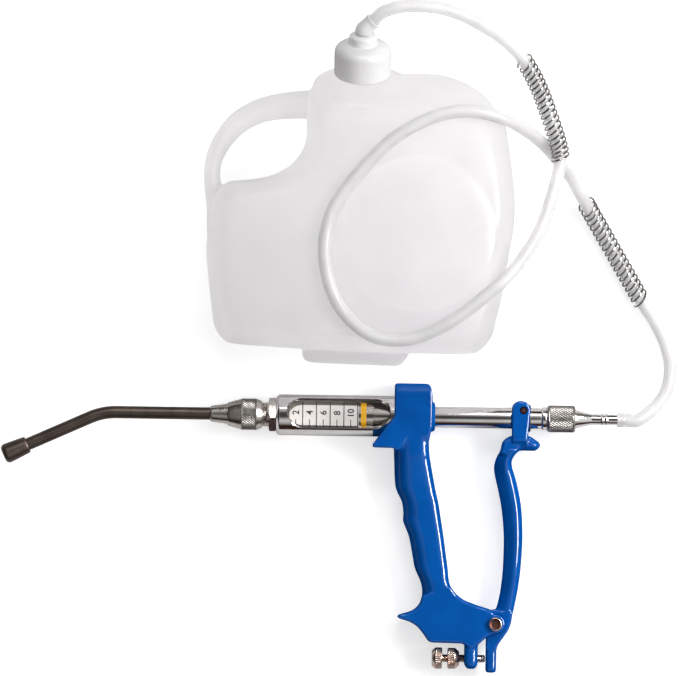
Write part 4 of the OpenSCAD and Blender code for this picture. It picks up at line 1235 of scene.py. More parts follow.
@dataclass
class GripFrame:
    """Blue casting: barrel housing, finger grip and the cheeks of the lever pivot."""

    housing_len: float = 23.6
    housing_top: float = 20.6
    housing_half: float = 14.5
    corner: float = 6.0
    reach: float = 64.5
    drop: float = 140.0
    width: float = 22.0
    frame_half: float = 11.5
    tab_half: float = 10.6
    cheek_r: float = 6.1
    boss_r: float = 9.0
    barrel_hole: float = 12.72
    plunger_hole: float = 6.8
    lever_gap: float = 6.6
    lever_back: float = 6.31
    lever_room: float = 9.6
    pin_hole: float = 2.52
    screw_hole: float = 2.55
    pivot: Tuple[float, float] = PIVOT
    # Outline of the housing, as shares of its length and top
    housing: np.ndarray = table([
        [0, 1], [0, 0.02], [-0.57, -0.86], [-0.56, -0.94], [-0.01, -0.95], [0.02, -1.02],
        [0.13, -1.02], [0.24, -1.02], [0.34, -1.02], [0.88, -1.02],
        [0.9, -0.85], [0.965, -0.44], [1, -0.3], [1, 0.62], [0.97, 0.86], [0.9, 1]])
    # Finger grip: drop, front, rear and width, as shares of the drop, the reach and the width
    sections: np.ndarray = table([
        [0.04, 0.0, 0.33, 1.31], [0.15, 0.0, 0.34, 1.31], [0.2, 0.004, 0.355, 1.24],
        [0.29, 0.014, 0.392, 1.12], [0.33, 0.034, 0.41, 1.08], [0.38, 0.085, 0.436, 1.05],
        [0.43, 0.1, 0.455, 1.03], [0.465, 0.1, 0.468, 1.02], [0.53, 0.156, 0.491, 1.01],
        [0.61, 0.192, 0.516, 1.01], [0.67, 0.218, 0.536, 1.02], [0.73, 0.275, 0.552, 1.04],
        [0.78, 0.293, 0.6, 1.05], [0.83, 0.275, 0.66, 1.05]])
    # Outlines of the trigger-guard spur with the pivot's cheeks and of the screw tab
    lower: np.ndarray = table([
        [0.29, -0.79], [0.279, -0.82], [0.237, -0.848], [0.177, -0.864], [0.082, -0.876],
        [0.047, -0.886], [0.084, -0.896], [0.172, -0.906], [0.254, -0.929], [0.313, -0.963],
        [0.363, -0.998], [0.7, -1.001], [0.765, -1.03], [0.831, -1.008], [0.924, -0.969],
        [1.0, -0.955], [1.0, -0.869], [0.95, -0.849], [0.817, -0.831], [0.691, -0.809],
        [0.609, -0.779], [0.555, -0.74]])
    tab: np.ndarray = table([
        [0.706, -0.95], [0.836, -0.95], [0.836, -1.095], [0.81, -1.113], [0.735, -1.113],
        [0.706, -1.095]])

    def rounded_top(self, flat: np.ndarray, z: float) -> np.ndarray:
        """Housing outline at one height, with the long top edges rounded off.

        Args:
            flat: points of the outline.
            z: the height.

        Returns:
            The outline's points at that height.
        """
        over = max(abs(z) - (self.housing_half - self.corner), 0.0)
        limit = self.housing_top - self.corner + math.sqrt(max(self.corner ** 2 - over ** 2, 0.0))
        slope = 3.2 * max(abs(z) - self.frame_half, 0.0)
        least = slope * np.clip((flat[:, 0] - 3.0) / 5.0, 0, 1) - 1.03 * self.housing_top
        return np.column_stack([flat[:, 0], np.clip(flat[:, 1], least, limit)])

    def hand_grip(self) -> Skin:
        """Finger grip with a full rounded front and a tighter rear edge.

        Returns:
            Points and faces.
        """
        rows = []
        for drop, front, rear, wide in spline(self.sections, 6):
            a = (rear - front) / 2 * self.reach
            ring = oval(a, wide * self.width / 2, 2.1, 5.0, 96)
            rows.append(np.column_stack([(front + rear) / 2 * self.reach + ring[:, 0],
                                         np.full(len(ring), -drop * self.drop), ring[:, 1]]))
        return grid_skin(np.array(rows), ends=True)

    def build(self) -> None:
        """Fuses the casting and bores it for the barrel, plunger, lever and screw."""
        px, py = self.pivot
        size = np.array([self.reach, self.drop])
        head = plate(eased(self.housing * np.array([self.housing_len, self.housing_top]), 1.6),
                     -self.housing_half, self.housing_half, 1.2, self.rounded_top)
        low = plate(eased(self.lower * size, 2.2), -self.frame_half, self.frame_half, 1.6)
        tab = plate(eased(self.tab * size, 1.5), -self.tab_half, self.tab_half, 3.7)
        cheek = plate(circle(self.cheek_r, 48) + np.array([px, py]), -self.frame_half,
                      self.frame_half, 1.0)
        boss = turned(eased([[20.0, 0.0], [20.0, self.boss_r], [25.3, self.boss_r], [25.3, 0.0]],
                            1.2, False, 5), 64, solid=True)
        shapes = (head, self.hand_grip(), low, tab, cheek, boss)
        made = cast("grip_casting", [on_gun(s) for s in shapes], grain=0.5, rounds=9)
        gap = self.lever_gap
        bored(made, [on_gun(s) for s in (
            rod(-40, 19, self.barrel_hole, 128),
            rod(18, 30, self.plunger_hole),
            block([px - self.lever_back, py - 70, -gap], [px + 64, py + 70, gap]),
            moved(pin(self.lever_room, gap), (px, py, 0)),
            moved(pin(self.pin_hole, THROUGH), (px, py, 0)),
            moved(rod(30, 60, self.screw_hole), (0, SCREW_Y, 0)))], sharp=40.0)
        dress(made, ENAMEL, Body.BASE, Slot.ENAMEL, "grip_frame")


@dataclass
class Lever:
    """Blue squeeze lever: foot and tail, hand bar, yoke with thumb spur and fork."""

    height: float = 132.68
    width: float = 16.0
    foot_half: float = 6.3
    yoke_half: float = 10.4
    arm_in: float = 8.9
    arm_out: float = 12.5
    foot_r: float = 9.0
    spur_half: float = 8.4
    # Round end of each arm: its radius and that of its hole
    eye: Tuple[float, float] = (5.85, 2.45)
    pin_hole: float = 2.55
    # Room for the return spring: its radius and half its length
    spring_room: Tuple[float, float] = (6.3, 6.6)
    # Slot for the trunnion pins: half its width, its two ends from the pivot, and its lean
    slot_r: float = 2.5
    slot_ends: Tuple[float, float] = (132.43, 135.73)
    slot_lean: float = 6.663
    pivot: Tuple[float, float] = PIVOT
    # Hand bar: height, inner and outer edge, as shares of the height, and share of the width
    sections: np.ndarray = table([
        [0.812, 0.016, 0.098, 1.52], [0.79, 0, 0.08, 1.46], [0.762, -0.011, 0.066, 1.36],
        [0.73, -0.017, 0.069, 1.22], [0.687, -0.011, 0.083, 1.1], [0.621, 0.005, 0.1, 1.04],
        [0.54, 0.021, 0.1145, 1], [0.438, 0.032, 0.121, 1], [0.35, 0.034, 0.1205, 1],
        [0.247, 0.031, 0.114, 1], [0.167, 0.023, 0.104, 0.9], [0.125, 0.016, 0.097, 0.81],
        [0.09, 0.008, 0.09, 0.8], [0.055, -0.004, 0.083, 0.8], [0.025, -0.02, 0.076, 0.77]])
    # Upper half of the bar's section, from its inner to its outer edge
    crest: np.ndarray = table([
        [-1, 0], [-0.97, 0.3], [-0.72, 0.54], [-0.3, 0.79], [0.1, 0.965], [0.34, 1.0], [0.62, 0.92],
        [0.86, 0.64], [0.975, 0.32], [1, 0]])
    # Outlines as shares of the height, from the pivot
    foot: np.ndarray = table([
        [-0.012, 0.062], [0.08, 0.062], [0.08, 0.046], [0.073, -0.004], [0.041, -0.061],
        [0.013, -0.099], [0.0075, -0.127], [-0.043, -0.127], [-0.043, -0.06], [-0.03, 0.05]])
    tail: np.ndarray = table([
        [-0.043, -0.06], [0.0075, -0.06], [0.0075, -0.222], [-0.004, -0.229], [-0.034, -0.229],
        [-0.043, -0.222]])
    yoke: np.ndarray = table([
        [0.002, 0.79], [0.078, 0.79], [0.12, 0.83], [0.148, 0.882], [0.06, 0.882], [0.02, 0.855],
        [0.014, 0.815]])
    spur: np.ndarray = table([
        [0.05, 0.8], [0.105, 0.812], [0.177, 0.81], [0.198, 0.832], [0.196, 0.848], [0.148, 0.882],
        [0.06, 0.882]])
    arm: np.ndarray = table([
        [0.066, 0.8], [0.136, 0.8], [0.15, 1.0], [0.062, 1.0]])

    def bar(self) -> Skin:
        """Hand bar with a crest near its outer edge and a long inner slope.

        Returns:
            Points and faces.
        """
        rows = []
        for high, inner, outer, wide in spline(self.sections, 6):
            a = (outer - inner) / 2 * self.height
            under = (self.crest * np.array([1, -1]))[-2:0:-1]
            ring = spline(np.vstack([self.crest, under]), 4, True)
            rows.append(np.column_stack([(inner + outer) / 2 * self.height + a * ring[:, 0],
                                         np.full(len(ring), high * self.height),
                                         wide * self.width / 2 * ring[:, 1]]))
        return grid_skin(np.array(rows), ends=True)

    def arm_foot(self, flat: np.ndarray, z: float) -> np.ndarray:
        """Outline of an arm at one height, its lower end sloped into the yoke."""
        out = np.clip((abs(z) - self.arm_in) / (self.arm_out - self.arm_in), 0, 1)
        return np.column_stack([flat[:, 0],
                                np.maximum(flat[:, 1], (0.825 + 0.035 * out) * self.height)])

    def pin_slot(self) -> Skin:
        """Cutter for the slot that the trunnion pins run in, behind a skin on each arm.

        Returns:
            Points and faces.
        """
        turn = math.radians(self.slot_lean)
        swing = np.linspace(0, math.pi, 25)
        across, along = self.slot_r * np.cos(swing), self.slot_r * np.sin(swing)
        top = np.column_stack([across, self.slot_ends[1] + along])
        low = np.column_stack([-across, self.slot_ends[0] - along])
        flat = np.vstack([top, low]) @ np.array([[math.cos(turn), -math.sin(turn)],
                                                [math.sin(turn), math.cos(turn)]])
        half = self.arm_out - 1
        rows = [np.column_stack([flat, np.full(len(flat), z)]) for z in (-half, half)]
        return grid_skin(np.array(rows), ends=True)

    def build(self) -> None:
        """Fuses the casting and bores it for its pivot and the trunnion pins."""
        scale = self.height
        shapes = [self.bar(),
                  plate(eased(self.foot * scale, 2.0), -self.foot_half, self.foot_half, 1.0),
                  plate(circle(self.foot_r, 64), -self.foot_half, self.foot_half, 0.8),
                  plate(eased(self.tail * scale, 1.4), -self.foot_half, self.foot_half, 2.7),
                  plate(eased(self.spur * scale, 2.4), -self.spur_half, self.spur_half, 4.6),
                  plate(eased(self.yoke * scale, 2.4), -self.yoke_half, self.yoke_half, 3.0)]
        for low, high in ((self.arm_in, self.arm_out), (-self.arm_out, -self.arm_in)):
            shapes.append(plate(eased(self.arm * scale, 1.0), low, high, 1.2, self.arm_foot))
            shapes.append(plate(circle(self.eye[0], 64) + np.array([0.106, 1.0]) * scale, low,
                                high, 1.2))
        px, py = self.pivot
        made = cast("lever_casting", [on_gun(s, px, py) for s in shapes], grain=0.5,
                    rounds=7)
        pocket = moved(pin(*self.spring_room), (0, 0, self.foot_half))
        eye = moved(pin(self.eye[1], THROUGH), (15.5, self.height, 0))
        cutters = (self.pin_slot(), eye, pin(self.pin_hole, THROUGH), pocket)
        bored(made, [on_gun(s, px, py) for s in cutters], sharp=40.0)
        dress(made, ENAMEL, Body.LEVER, Slot.ENAMEL, "lever")


# Gun: barrel, glass and scale

@dataclass
class Barrel:
    """Chromed barrel with an obround sight window and the printed glass behind it."""

    r: float = 12.7
    ir: float = 10.5
    bevel: float = 1.7
    front: float = -73.3
    rear: float = 19.0
    # Window: start, stop and width
    window: Tuple[float, float, float] = (-66.3, -2.9, 19.0)
    roll: float = 12.0
    glass_r: float = 10.225
    zero: float = -65.4
    per_ml: float = 4.26

    def window_cutter(self, side: float) -> Skin:
        """Radial cutter for one window, a little wider at the outer skin for the rim's chamfer.

        Args:
            side: the window's angle round the barrel, before its roll.

        Returns:
            Points and faces.
        """
        start, stop, wide = self.window
        rows = []
        for depth, grow in ((9.6, 0.0), (self.r - 0.5, 0.0), (self.r + 0.02, 0.55), (30.0, 0.6)):
            half = wide / 2 + grow
            swing = np.linspace(-math.pi / 2, math.pi / 2, 33)
            right = np.column_stack([stop - wide / 2 + half * np.cos(swing), half * np.sin(swing)])
            left = np.column_stack([start + wide / 2 - half * np.cos(swing), -half * np.sin(swing)])
            flat = np.vstack([right, left])
            angle = np.arcsin(flat[:, 1] / self.r) + math.radians(self.roll) + side
            rows.append(np.column_stack([flat[:, 0], depth * np.sin(angle), depth * np.cos(angle)]))
        return grid_skin(np.array(rows), ends=True)

    def build(self) -> None:
        """Makes the barrel and the scale on its glass."""
        profile = eased([[self.front, self.ir], [self.front, self.r - self.bevel],
                         [self.front + self.bevel, self.r], [self.rear, self.r],
                         [self.rear, self.ir]], 0.5)
        profile = filled(profile, self.front + 2, self.rear - 1, 4.0)
        made = make_object("barrel_tube", on_gun(turned(profile, 192)))
        bored(made, [on_gun(self.window_cutter(side)) for side in (0.0, math.pi)], sharp=30.0)
        self.true_round(made)
        dress(made, CHROME, Body.BASE, Slot.CHROME, "barrel")
        part_finished(made, LINING, lambda spot: math.hypot(spot[1], spot[2]) < self.ir + 0.1)
        self.scale()

    def true_round(self, obj: bpy.types.Object) -> None:
        """Gives the outer skin the normals of a true cylinder, so that it mirrors cleanly.

        Args:
            obj: the barrel.
        """
        mesh = obj.data
        normals = [Vector(n.vector) for n in mesh.corner_normals]
        for face in mesh.polygons:
            for loop in face.loop_indices:
                spot = np.array(mesh.vertices[mesh.loops[loop].vertex_index].co) / MM - GUN
                out = Vector((0.0, spot[1], spot[2])).normalized()
                outer = abs(math.hypot(spot[1], spot[2]) - self.r) < 0.01
                if outer and face.normal.dot(out) > 0.98:
                    normals[loop] = out
        mesh.normals_split_custom_set(normals)

    def wrapped(self, flat: np.ndarray, lift: float) -> np.ndarray:
        """Lays flat points on the glass.

        Args:
            flat: place along the barrel and arc round it.
            lift: height over the glass.

        Returns:
            The points in the gun's own axes.
        """
        r = self.glass_r + lift
        angle = flat[:, 1] / self.glass_r
        return np.column_stack([flat[:, 0], r * np.sin(angle), r * np.cos(angle)])

    def line(self, x: float, low: float, high: float, wide: float) -> Skin:
        """One raised printed line across the glass.

        Args:
            x: its place along the barrel.
            low: where it starts, as seen from above.
            high: where it ends.
            wide: its width.

        Returns:
            Points and faces.
        """
        ends = [math.asin(y / self.glass_r) for y in (low, high)]
        arc = self.glass_r * np.linspace(ends[0], ends[1], 25)
        half = wide / 2
        rows = []
        for dx, lift in ((-half, 0.01), (half, 0.01), (half, 0.05), (-half, 0.05)):
            rows.append(self.wrapped(np.column_stack([np.full(25, x + dx), arc]), lift))
        grid = np.array(rows).transpose(1, 0, 2)
        return grid_skin(grid, ends=True)

    def figure(self, text: str, x: float, y: float, tall: float) -> Skin:
        """One printed number, read along the arc with its top towards the nozzle.

        Args:
            text: its digits.
            x: its place along the barrel.
            y: its place across it, as seen from above.
            tall: its height.

        Returns:
            Points and faces.
        """
        curve = bpy.data.curves.new("figure", "FONT")
        curve.body = text
        curve.align_x = "CENTER"
        curve.extrude = 0.5
        curve.size = 1.0
        curve.offset = 0.022
        holder = bpy.data.objects.new("figure", curve)
        bpy.context.collection.objects.link(holder)
        graph = bpy.context.evaluated_depsgraph_get()
        mesh = bpy.data.meshes.new_from_object(holder.evaluated_get(graph))
        work = bmesh.new()
        work.from_mesh(mesh)
        bmesh.ops.remove_doubles(work, verts=work.verts, dist=1e-5)
        bmesh.ops.triangulate(work, faces=work.faces)
        work.verts.ensure_lookup_table()
        spots = np.array([v.co[:] for v in work.verts])
        faces = [tuple(v.index for v in f.verts) for f in work.faces]
        work.free()
        bpy.data.objects.remove(holder)
        size = tall / (spots[:, 1].max() - spots[:, 1].min())
        mid = (spots[:, 1].max() + spots[:, 1].min()) / 2
        flat = np.column_stack([x - (spots[:, 1] - mid) * size,
                                self.glass_r * math.asin(y / self.glass_r) + spots[:, 0] * size])
        low, high = self.wrapped(flat, 0.01), self.wrapped(flat, 0.06)
        return np.where(spots[:, 2:3] > 0, high, low), faces

    def scale(self) -> None:
        """Prints the millilitre lines and numbers on the glass."""
        marks: List[Skin] = []
        for ml in range(0, 11):
            x = self.zero + ml * self.per_ml
            high, wide = (8.4, 0.6) if ml % 2 == 0 else (-2.5, 0.55)
            marks.append(self.line(x, -6.8, high, wide))
        for ml in range(2, 11, 2):
            marks.append(self.figure(str(ml), self.zero + ml * self.per_ml - 4.3, 1.6, 4.2))
        made = make_object("glass_scale", on_gun(joined(marks)), 20.0)
        dress(made, INK, Body.BASE, Slot.GLASS)


# Gun: turned pieces

@dataclass
class Nozzle:
    """Outlet head, knurled nut, ferrule, bent pipe and rounded tip."""

    hex_r: float = 11.0
    hex_front: float = -77.9
    barrel_front: float = -73.3
    neck_front: float = -91.0
    nut_rear: float = -82.2
    nut_front: float = -103.6
    ferrule_front: float = -114.1
    pipe_rear: float = -95.5
    pipe_r: float = 3.85
    pipe_bore: float = 2.7
    socket_r: float = 3.87
    nut_r: float = 9.75
    bend_x: float = -181.0
    bend_deg: float = 24.3
    bend_r: float = 40.0
    drop: float = 50.7

    def hexagon(self, x: np.ndarray, angle: np.ndarray, r: np.ndarray) -> np.ndarray:
        """Cuts six flats, with the corners turned off at both faces.

        Args:
            x: place of each point along the axis.
            angle: its angle round the axis.
            r: its plain radius.

        Returns:
            The radius of each point.
        """
        flat = self.hex_r * math.cos(math.pi / 6)
        lean = np.mod(angle - math.radians(40), math.pi / 3) - math.pi / 6
        end = np.minimum(x - self.hex_front, self.barrel_front - x)
        limit = np.minimum(flat / np.cos(lean), 10.1 + 1.3 * np.clip(end, 0, 2))
        return np.where(r > 9.0, np.minimum(limit, r), r)

    def build(self) -> None:
        """Makes the outlet head and everything in front of it."""
        a, b, c = self.barrel_front, self.hex_front, self.neck_front
        rows = [[a + 4, 2.2], [a + 4, 10.48], [a, 10.48], [a, 11.4], [b, 11.4], [b, 7.6], [c, 7.6],
                [c, 4.2], [-76.0, 4.2], [-76.0, 2.2]]
        profile = filled(filled(eased(rows, 0.25), b, a, 0.25), c, b, 0.2)
        thread = Thread(c, b - 0.8, least=7.0, pitch=1.25, depth=0.5)
        skin = turned(profile, 180, lambda x, t, r: thread(x, t, self.hexagon(x, t, r)))
        made = make_object("outlet_head", on_gun(skin), CRISP)
        dress(made, NICKEL, Body.BASE, Slot.NICKEL, "outlet_valve_body")
        self.nut()
        self.ferrule()
        self.pipe()
        self.tip()

    def nut(self) -> None:
        """Knurled nut: bevelled rear, knurled band and a hollow-ground cone to the front."""
        f, r = self.nut_front, self.nut_rear
        band = (r - 3.4 - 9.3, r - 3.4)
        cone = [[f + k * (band[0] - f), 6.9 + 2.55 * k ** 0.85] for k in np.linspace(0, 1, 8)]
        rows = [[f, 6.55]] + cone + [[band[0], self.nut_r], [band[1], self.nut_r], [r, 8.4],
                                     [r, 7.7], [f + 6.4, 7.7], [f + 6.4, 6.55]]
        profile = filled(eased(rows, 0.3), band[0], band[1], 0.2)
        knurl = Knurl(band[0] + 0.3, band[1] - 0.3, least=9.4, teeth=36, pitch=1.9, depth=0.45)
        made = make_object("nozzle_clamp_nut", on_gun(turned(profile, 312, knurl)), CRISP)
        dress(made, NICKEL, Body.NOZZLE_NUT, Slot.NICKEL, "nozzle_nut")
        part_finished(made, KNURLED, lambda spot: bool(
            band[0] < spot[0] < band[1] and math.hypot(spot[1], spot[2]) > 9))

    def ferrule(self) -> None:
        """Cone that the pipe is soldered into, with a bead of solder at its lip."""
        f, n, rear = self.ferrule_front, self.nut_front, self.neck_front - 1.5
        rows = [[f, self.socket_r], [f, 4.75], [f + 0.8, 5.0], [n, 6.25], [n + 6.7, 6.25],
                [n + 6.7, 7.68], [rear, 7.68], [rear, self.pipe_bore],
                [self.pipe_rear, self.pipe_bore], [self.pipe_rear, self.socket_r]]
        made = make_object("nozzle_cone", on_gun(turned(eased(rows, 0.4), 96)), CRISP)
        dress(made, NICKEL, Body.NOZZLE, Slot.NICKEL, "nozzle_ferrule")

    def pipe(self) -> None:
        """Bent pipe as one drawn tube."""
        turn = math.radians(self.bend_deg)
        run = self.bend_r * math.tan(turn / 2)
        rear = np.column_stack([np.linspace(self.pipe_rear, self.bend_x + run, 40), np.zeros(40)])
        swing = np.linspace(0, turn, 25)[1:]
        bend = np.column_stack([self.bend_x + run - self.bend_r * np.sin(swing),
                                -self.bend_r * (1 - np.cos(swing))])
        ahead = np.array([-math.cos(turn), -math.sin(turn)])
        far = bend[-1] + np.linspace(1, self.drop + 8 - run, 30)[:, None] * ahead
        flat = np.vstack([rear, bend, far])
        path = np.column_stack([flat, np.zeros(len(flat))])
        skin = swept(path, np.full(len(path), self.pipe_r), 40, np.full(len(path), self.pipe_bore))
        made = make_object("nozzle_tube", on_gun(skin), 45.0)
        dress(made, BROWN_NICKEL, Body.NOZZLE, Slot.NICKEL, "nozzle_pipe")

    def tip(self) -> None:
        """Rounded tip that won't cut the animal's mouth, on the end of the pipe."""
        rows = [[0.0, self.socket_r], [0.0, 4.9], [-0.9, 5.25], [-9.0, 5.85]]
        rows += [[-13.6 - 2.8 * math.cos(a), 3.3 + 2.8 * math.sin(a)]
                 for a in np.radians(range(90, -1, -10))]
        rows += [[-16.4, 2.5], [-8.0, 2.5], [-8.0, self.socket_r]]
        verts, faces = turned(eased(rows, 0.4), 96)
        turn = math.radians(self.bend_deg)
        x = verts[:, 0] - self.drop
        y = verts[:, 1]
        spots = np.column_stack([self.bend_x + x * math.cos(turn) - y * math.sin(turn),
                                 x * math.sin(turn) + y * math.cos(turn), verts[:, 2]])
        made = make_object("nozzle_end", on_gun((spots, faces)), CRISP)
        dress(made, BROWN_NICKEL, Body.NOZZLE, Slot.NICKEL, "nozzle_tip")


@dataclass
class Plunger:
    """Chromed plunger tube with its swivel coupling and hose barb."""

    front: float = -13.0
    rear: float = 91.3
    r: float = 6.5
    bore: float = 2.5
    socket_r: float = 4.22
    socket_len: float = 6.5
    spigot_r: float = 4.2
    ring_r: float = 7.2
    thread_r: float = 6.9
    ring_rear: float = 102.5
    # Coupling nut: front, rear and radius
    coupling: Tuple[float, float, float] = (94.8, 112.2, 8.35)
    barb: Tuple[float, float] = (122.5, 143.3)
    trunnion: Tuple[float, float] = (80.0, 5.0)

    def build(self) -> None:
        """Makes the tube, adaptor, coupling nut and barb."""
        low, high = self.front + self.socket_len, self.rear - self.socket_len
        rows = [[self.front, self.socket_r], [self.front, self.r], [self.rear, self.r],
                [self.rear, self.socket_r], [high, self.socket_r], [high, self.bore],
                [low, self.bore], [low, self.socket_r]]
        tube = make_object("plunger_pipe", on_gun(turned(eased(rows, 0.4), 96)), CRISP)
        dress(tube, CHROME, Body.PLUNGER, Slot.CHROME, "plunger_tube")
        rows = [[high, self.bore], [high, self.spigot_r], [self.rear, self.spigot_r],
                [self.rear, 6.6], [self.rear + 0.8, self.ring_r], [94.2, self.ring_r],
                [94.5, self.thread_r], [self.ring_rear, self.thread_r], [self.ring_rear, self.bore]]
        adaptor = make_object("coupling_ring", on_gun(turned(eased(rows, 0.3), 96)), CRISP)
        dress(adaptor, CHROME, Body.PLUNGER, Slot.CHROME, "coupling_adaptor")
        self.yoke()
        self.nut()
        self.connector()

    def yoke(self) -> None:
        """Collar with a boss for the fork, and the two trunnion pins that stand out of it."""
        x, y = self.trunnion
        ring = turned(eased([[x - 4.6, 6.52], [x - 4.6, 8.3], [x + 4.6, 8.3], [x + 4.6, 6.52]],
                            0.5), 96)
        made = make_object("yoke_ring", on_gun(ring), CRISP)
        boss = np.array([[x - 4.4, 6.7], [x + 3.6, 6.7], [x + 3.6, y + 3.0], [x - 4.4, y + 3.0]])
        saddle = make_object("yoke_boss", on_gun(plate(eased(boss, 0.8), -8.5, 8.5, 0.6)), CRISP)
        for piece in (made, saddle):
            dress(piece, BROWN_NICKEL, Body.PLUNGER, Slot.CHROME, "yoke_collar")
        ends = [[7.0, 0.0], [7.0, 2.2], [10.7, 2.2], [11.2, 1.7], [11.2, 0.0]]
        verts, faces = turned(eased(ends, 0.2, False), 48, solid=True)
        pins = joined([(verts[:, [1, 2, 0]] * np.array([1, 1, side]), faces) for side in (1, -1)])
        dress(make_object("trunnion_ends", on_gun(pins, x, y), CRISP), RIVET, Body.PLUNGER,
              Slot.STEEL, "trunnion_pins")

    def nut(self) -> None:
        """Coupling nut knurled over nearly its whole length."""
        f, b, r = self.coupling
        rows = [[f, 6.95], [f, r - 0.9], [f + 0.9, r], [b - 0.9, r], [b, r - 0.9], [b, 6.3],
                [b - 6.5, 6.3], [b - 6.5, 6.95]]
        profile = filled(eased(rows, 0.25), f + 0.5, b - 0.5, 0.22)
        knurl = Knurl(f + 1.2, b - 1.2, least=r - 0.3, teeth=34, pitch=2.2, depth=0.4)
        made = make_object("coupling_swivel_nut", on_gun(turned(profile, 288, knurl)), CRISP)
        dress(made, KNURLED, Body.COUPLING_NUT, Slot.NICKEL, "coupling_nut")

    def connector(self) -> None:
        """Cone and barb: close pairs of rings that grip the hose."""
        s, e = self.barb
        rows = [[104.0, 2.1], [104.0, 6.9], [105.4, 6.9], [105.4, 6.0], [112.4, 6.0]]
        rows += [[112.4 + k * (s - 112.4), 6.0 - 2.7 * k ** 0.8] for k in np.linspace(0.1, 1, 10)]
        for ring in (s + 5.6, s + 8.0, s + 16.0, s + 18.2):
            rows += [[ring, 3.3], [ring + 0.7, 3.68], [ring + 1.2, 3.7], [ring + 1.9, 3.3]]
        rows += [[e - 0.3, 3.3], [e, 3.0], [e, 2.1]]
        made = make_object("hose_barb", on_gun(turned(eased(rows, 0.2), 96)), CRISP)
        dress(made, CHROME, Body.PLUNGER, Slot.CHROME, "hose_connector")


@dataclass
class DoseScrew:
    """Screw that stops the lever's tail, with its knob and lock nut."""

    y: float = SCREW_Y
    r: float = 2.5
    hole: float = 2.55
    teeth: int = 30
    tooth: float = 0.4
    # Knob and lock nut: front, rear and radius
    knob: Tuple[float, float, float] = (25.5, 31.9, 6.65)
    lock: Tuple[float, float, float] = (35.2, 42.4, 6.5)
    tip: float = 58.5

    def build(self) -> None:
        """Makes the threaded rod, the knob and the lock nut."""
        head = self.knob[0]
        rows = [[head, 0.0], [head, self.r], [self.tip - 0.9, self.r], [self.tip, 1.7],
                [self.tip, 0.0]]
        profile = filled(eased(rows, 0.15, False), head, self.tip - 0.5, 0.14)
        thread = Thread(32.0, self.tip - 1.0, least=2.2, pitch=0.8, depth=0.32)
        skin = turned(profile, 48, thread, solid=True)
        made = make_object("dose_thread", on_gun(skin, 0, self.y), 40.0)
        dress(made, STEEL, Body.SCREW, Slot.STEEL, "dose_rod")
        f, b, r = self.knob
        rows = [[f, self.hole], [f, r - 2.0], [f + 2.3, r], [b - 0.5, r], [b, r - 0.5],
                [b, self.hole]]
        knob = self.wheel("dose_wheel", rows, (f + 2.4, b - 0.4), (f + 2.5, b - 0.4))
        dress(knob, STEEL, Body.KNOB, Slot.STEEL, "dose_knob")
        f, b, r = self.lock
        rows = [[f, self.hole], [f, r - 0.6], [f + 0.6, r], [b - 2.6, r], [b, r - 2.3],
                [b, self.hole]]
        lock = self.wheel("lock_wheel", rows, (f + 0.5, b - 2.7), (f + 0.6, b - 2.8))
        dress(lock, STEEL, Body.LOCK_NUT, Slot.STEEL, "dose_lock_nut")

    def wheel(self, name: str, rows: List[List[float]], fine: Tuple[float, float],
              cut: Tuple[float, float]) -> bpy.types.Object:
        """Makes a wheel with straight knurling on the screw.

        Args:
            name: name of the piece.
            rows: its profile, as rows of place along the screw and radius.
            fine: the stretch that gets finer rows.
            cut: the stretch that is knurled.

        Returns:
            The new object.
        """
        most = max(r for _, r in rows)
        profile = filled(eased(rows, 0.25), fine[0], fine[1], 0.2)
        knurl = Knurl(cut[0], cut[1], least=most - 0.3, teeth=self.teeth, pitch=math.inf,
                      depth=self.tooth)
        return make_object(name, on_gun(turned(profile, 240, knurl), 0, self.y), CRISP)


@dataclass
class PivotPin:
    """Riveted pivot pin: a bright rim round a hammered centre on both cheeks."""

    pivot: Tuple[float, float] = PIVOT
    half: float = 14.5

    def build(self) -> None:
        """Makes the pin with both of its heads."""
        h = self.half
        head = [[h - 0.55, 0.0], [h - 0.6, 2.2], [h - 0.5, 2.9], [h, 3.3], [h - 0.1, 3.8],
                [h - 0.9, 4.3], [11.5, 4.3], [11.5, 2.5]]
        rows = head + [[-x, r] for x, r in head[::-1]]
        verts, faces = turned(eased(rows, 0.25, False), 72, solid=True)
        made = make_object("pivot_rivet", on_gun((verts[:, [1, 2, 0]], faces), *self.pivot), CRISP)
        dress(made, STEEL, Body.BASE, Slot.STEEL, "lever_pivot_pin")
        px, py = self.pivot
        part_finished(made, RIVET, lambda spot: bool(
            math.hypot(spot[0] - px, spot[1] - py) < 3.5 and abs(spot[2]) > 12))


CAD_FINISH: Dict[str, Finish] = {
    "glass_cylinder": GLASS, "front_gasket": RUBBER, "rear_gasket": RUBBER, "guide_bush": STEEL,
    "outlet_valve_ball": STEEL, "outlet_valve_spring": WIRE, "lever_spring": WIRE,
    "nozzle_washer": RUBBER, "piston_body": CHROME, "piston_seal": SEAL, "piston_nut": CHROME,
    "inlet_valve_ball": STEEL, "inlet_valve_spring": WIRE, "connector_washer": RUBBER,
    "cap_gasket": RUBBER}


# Studio

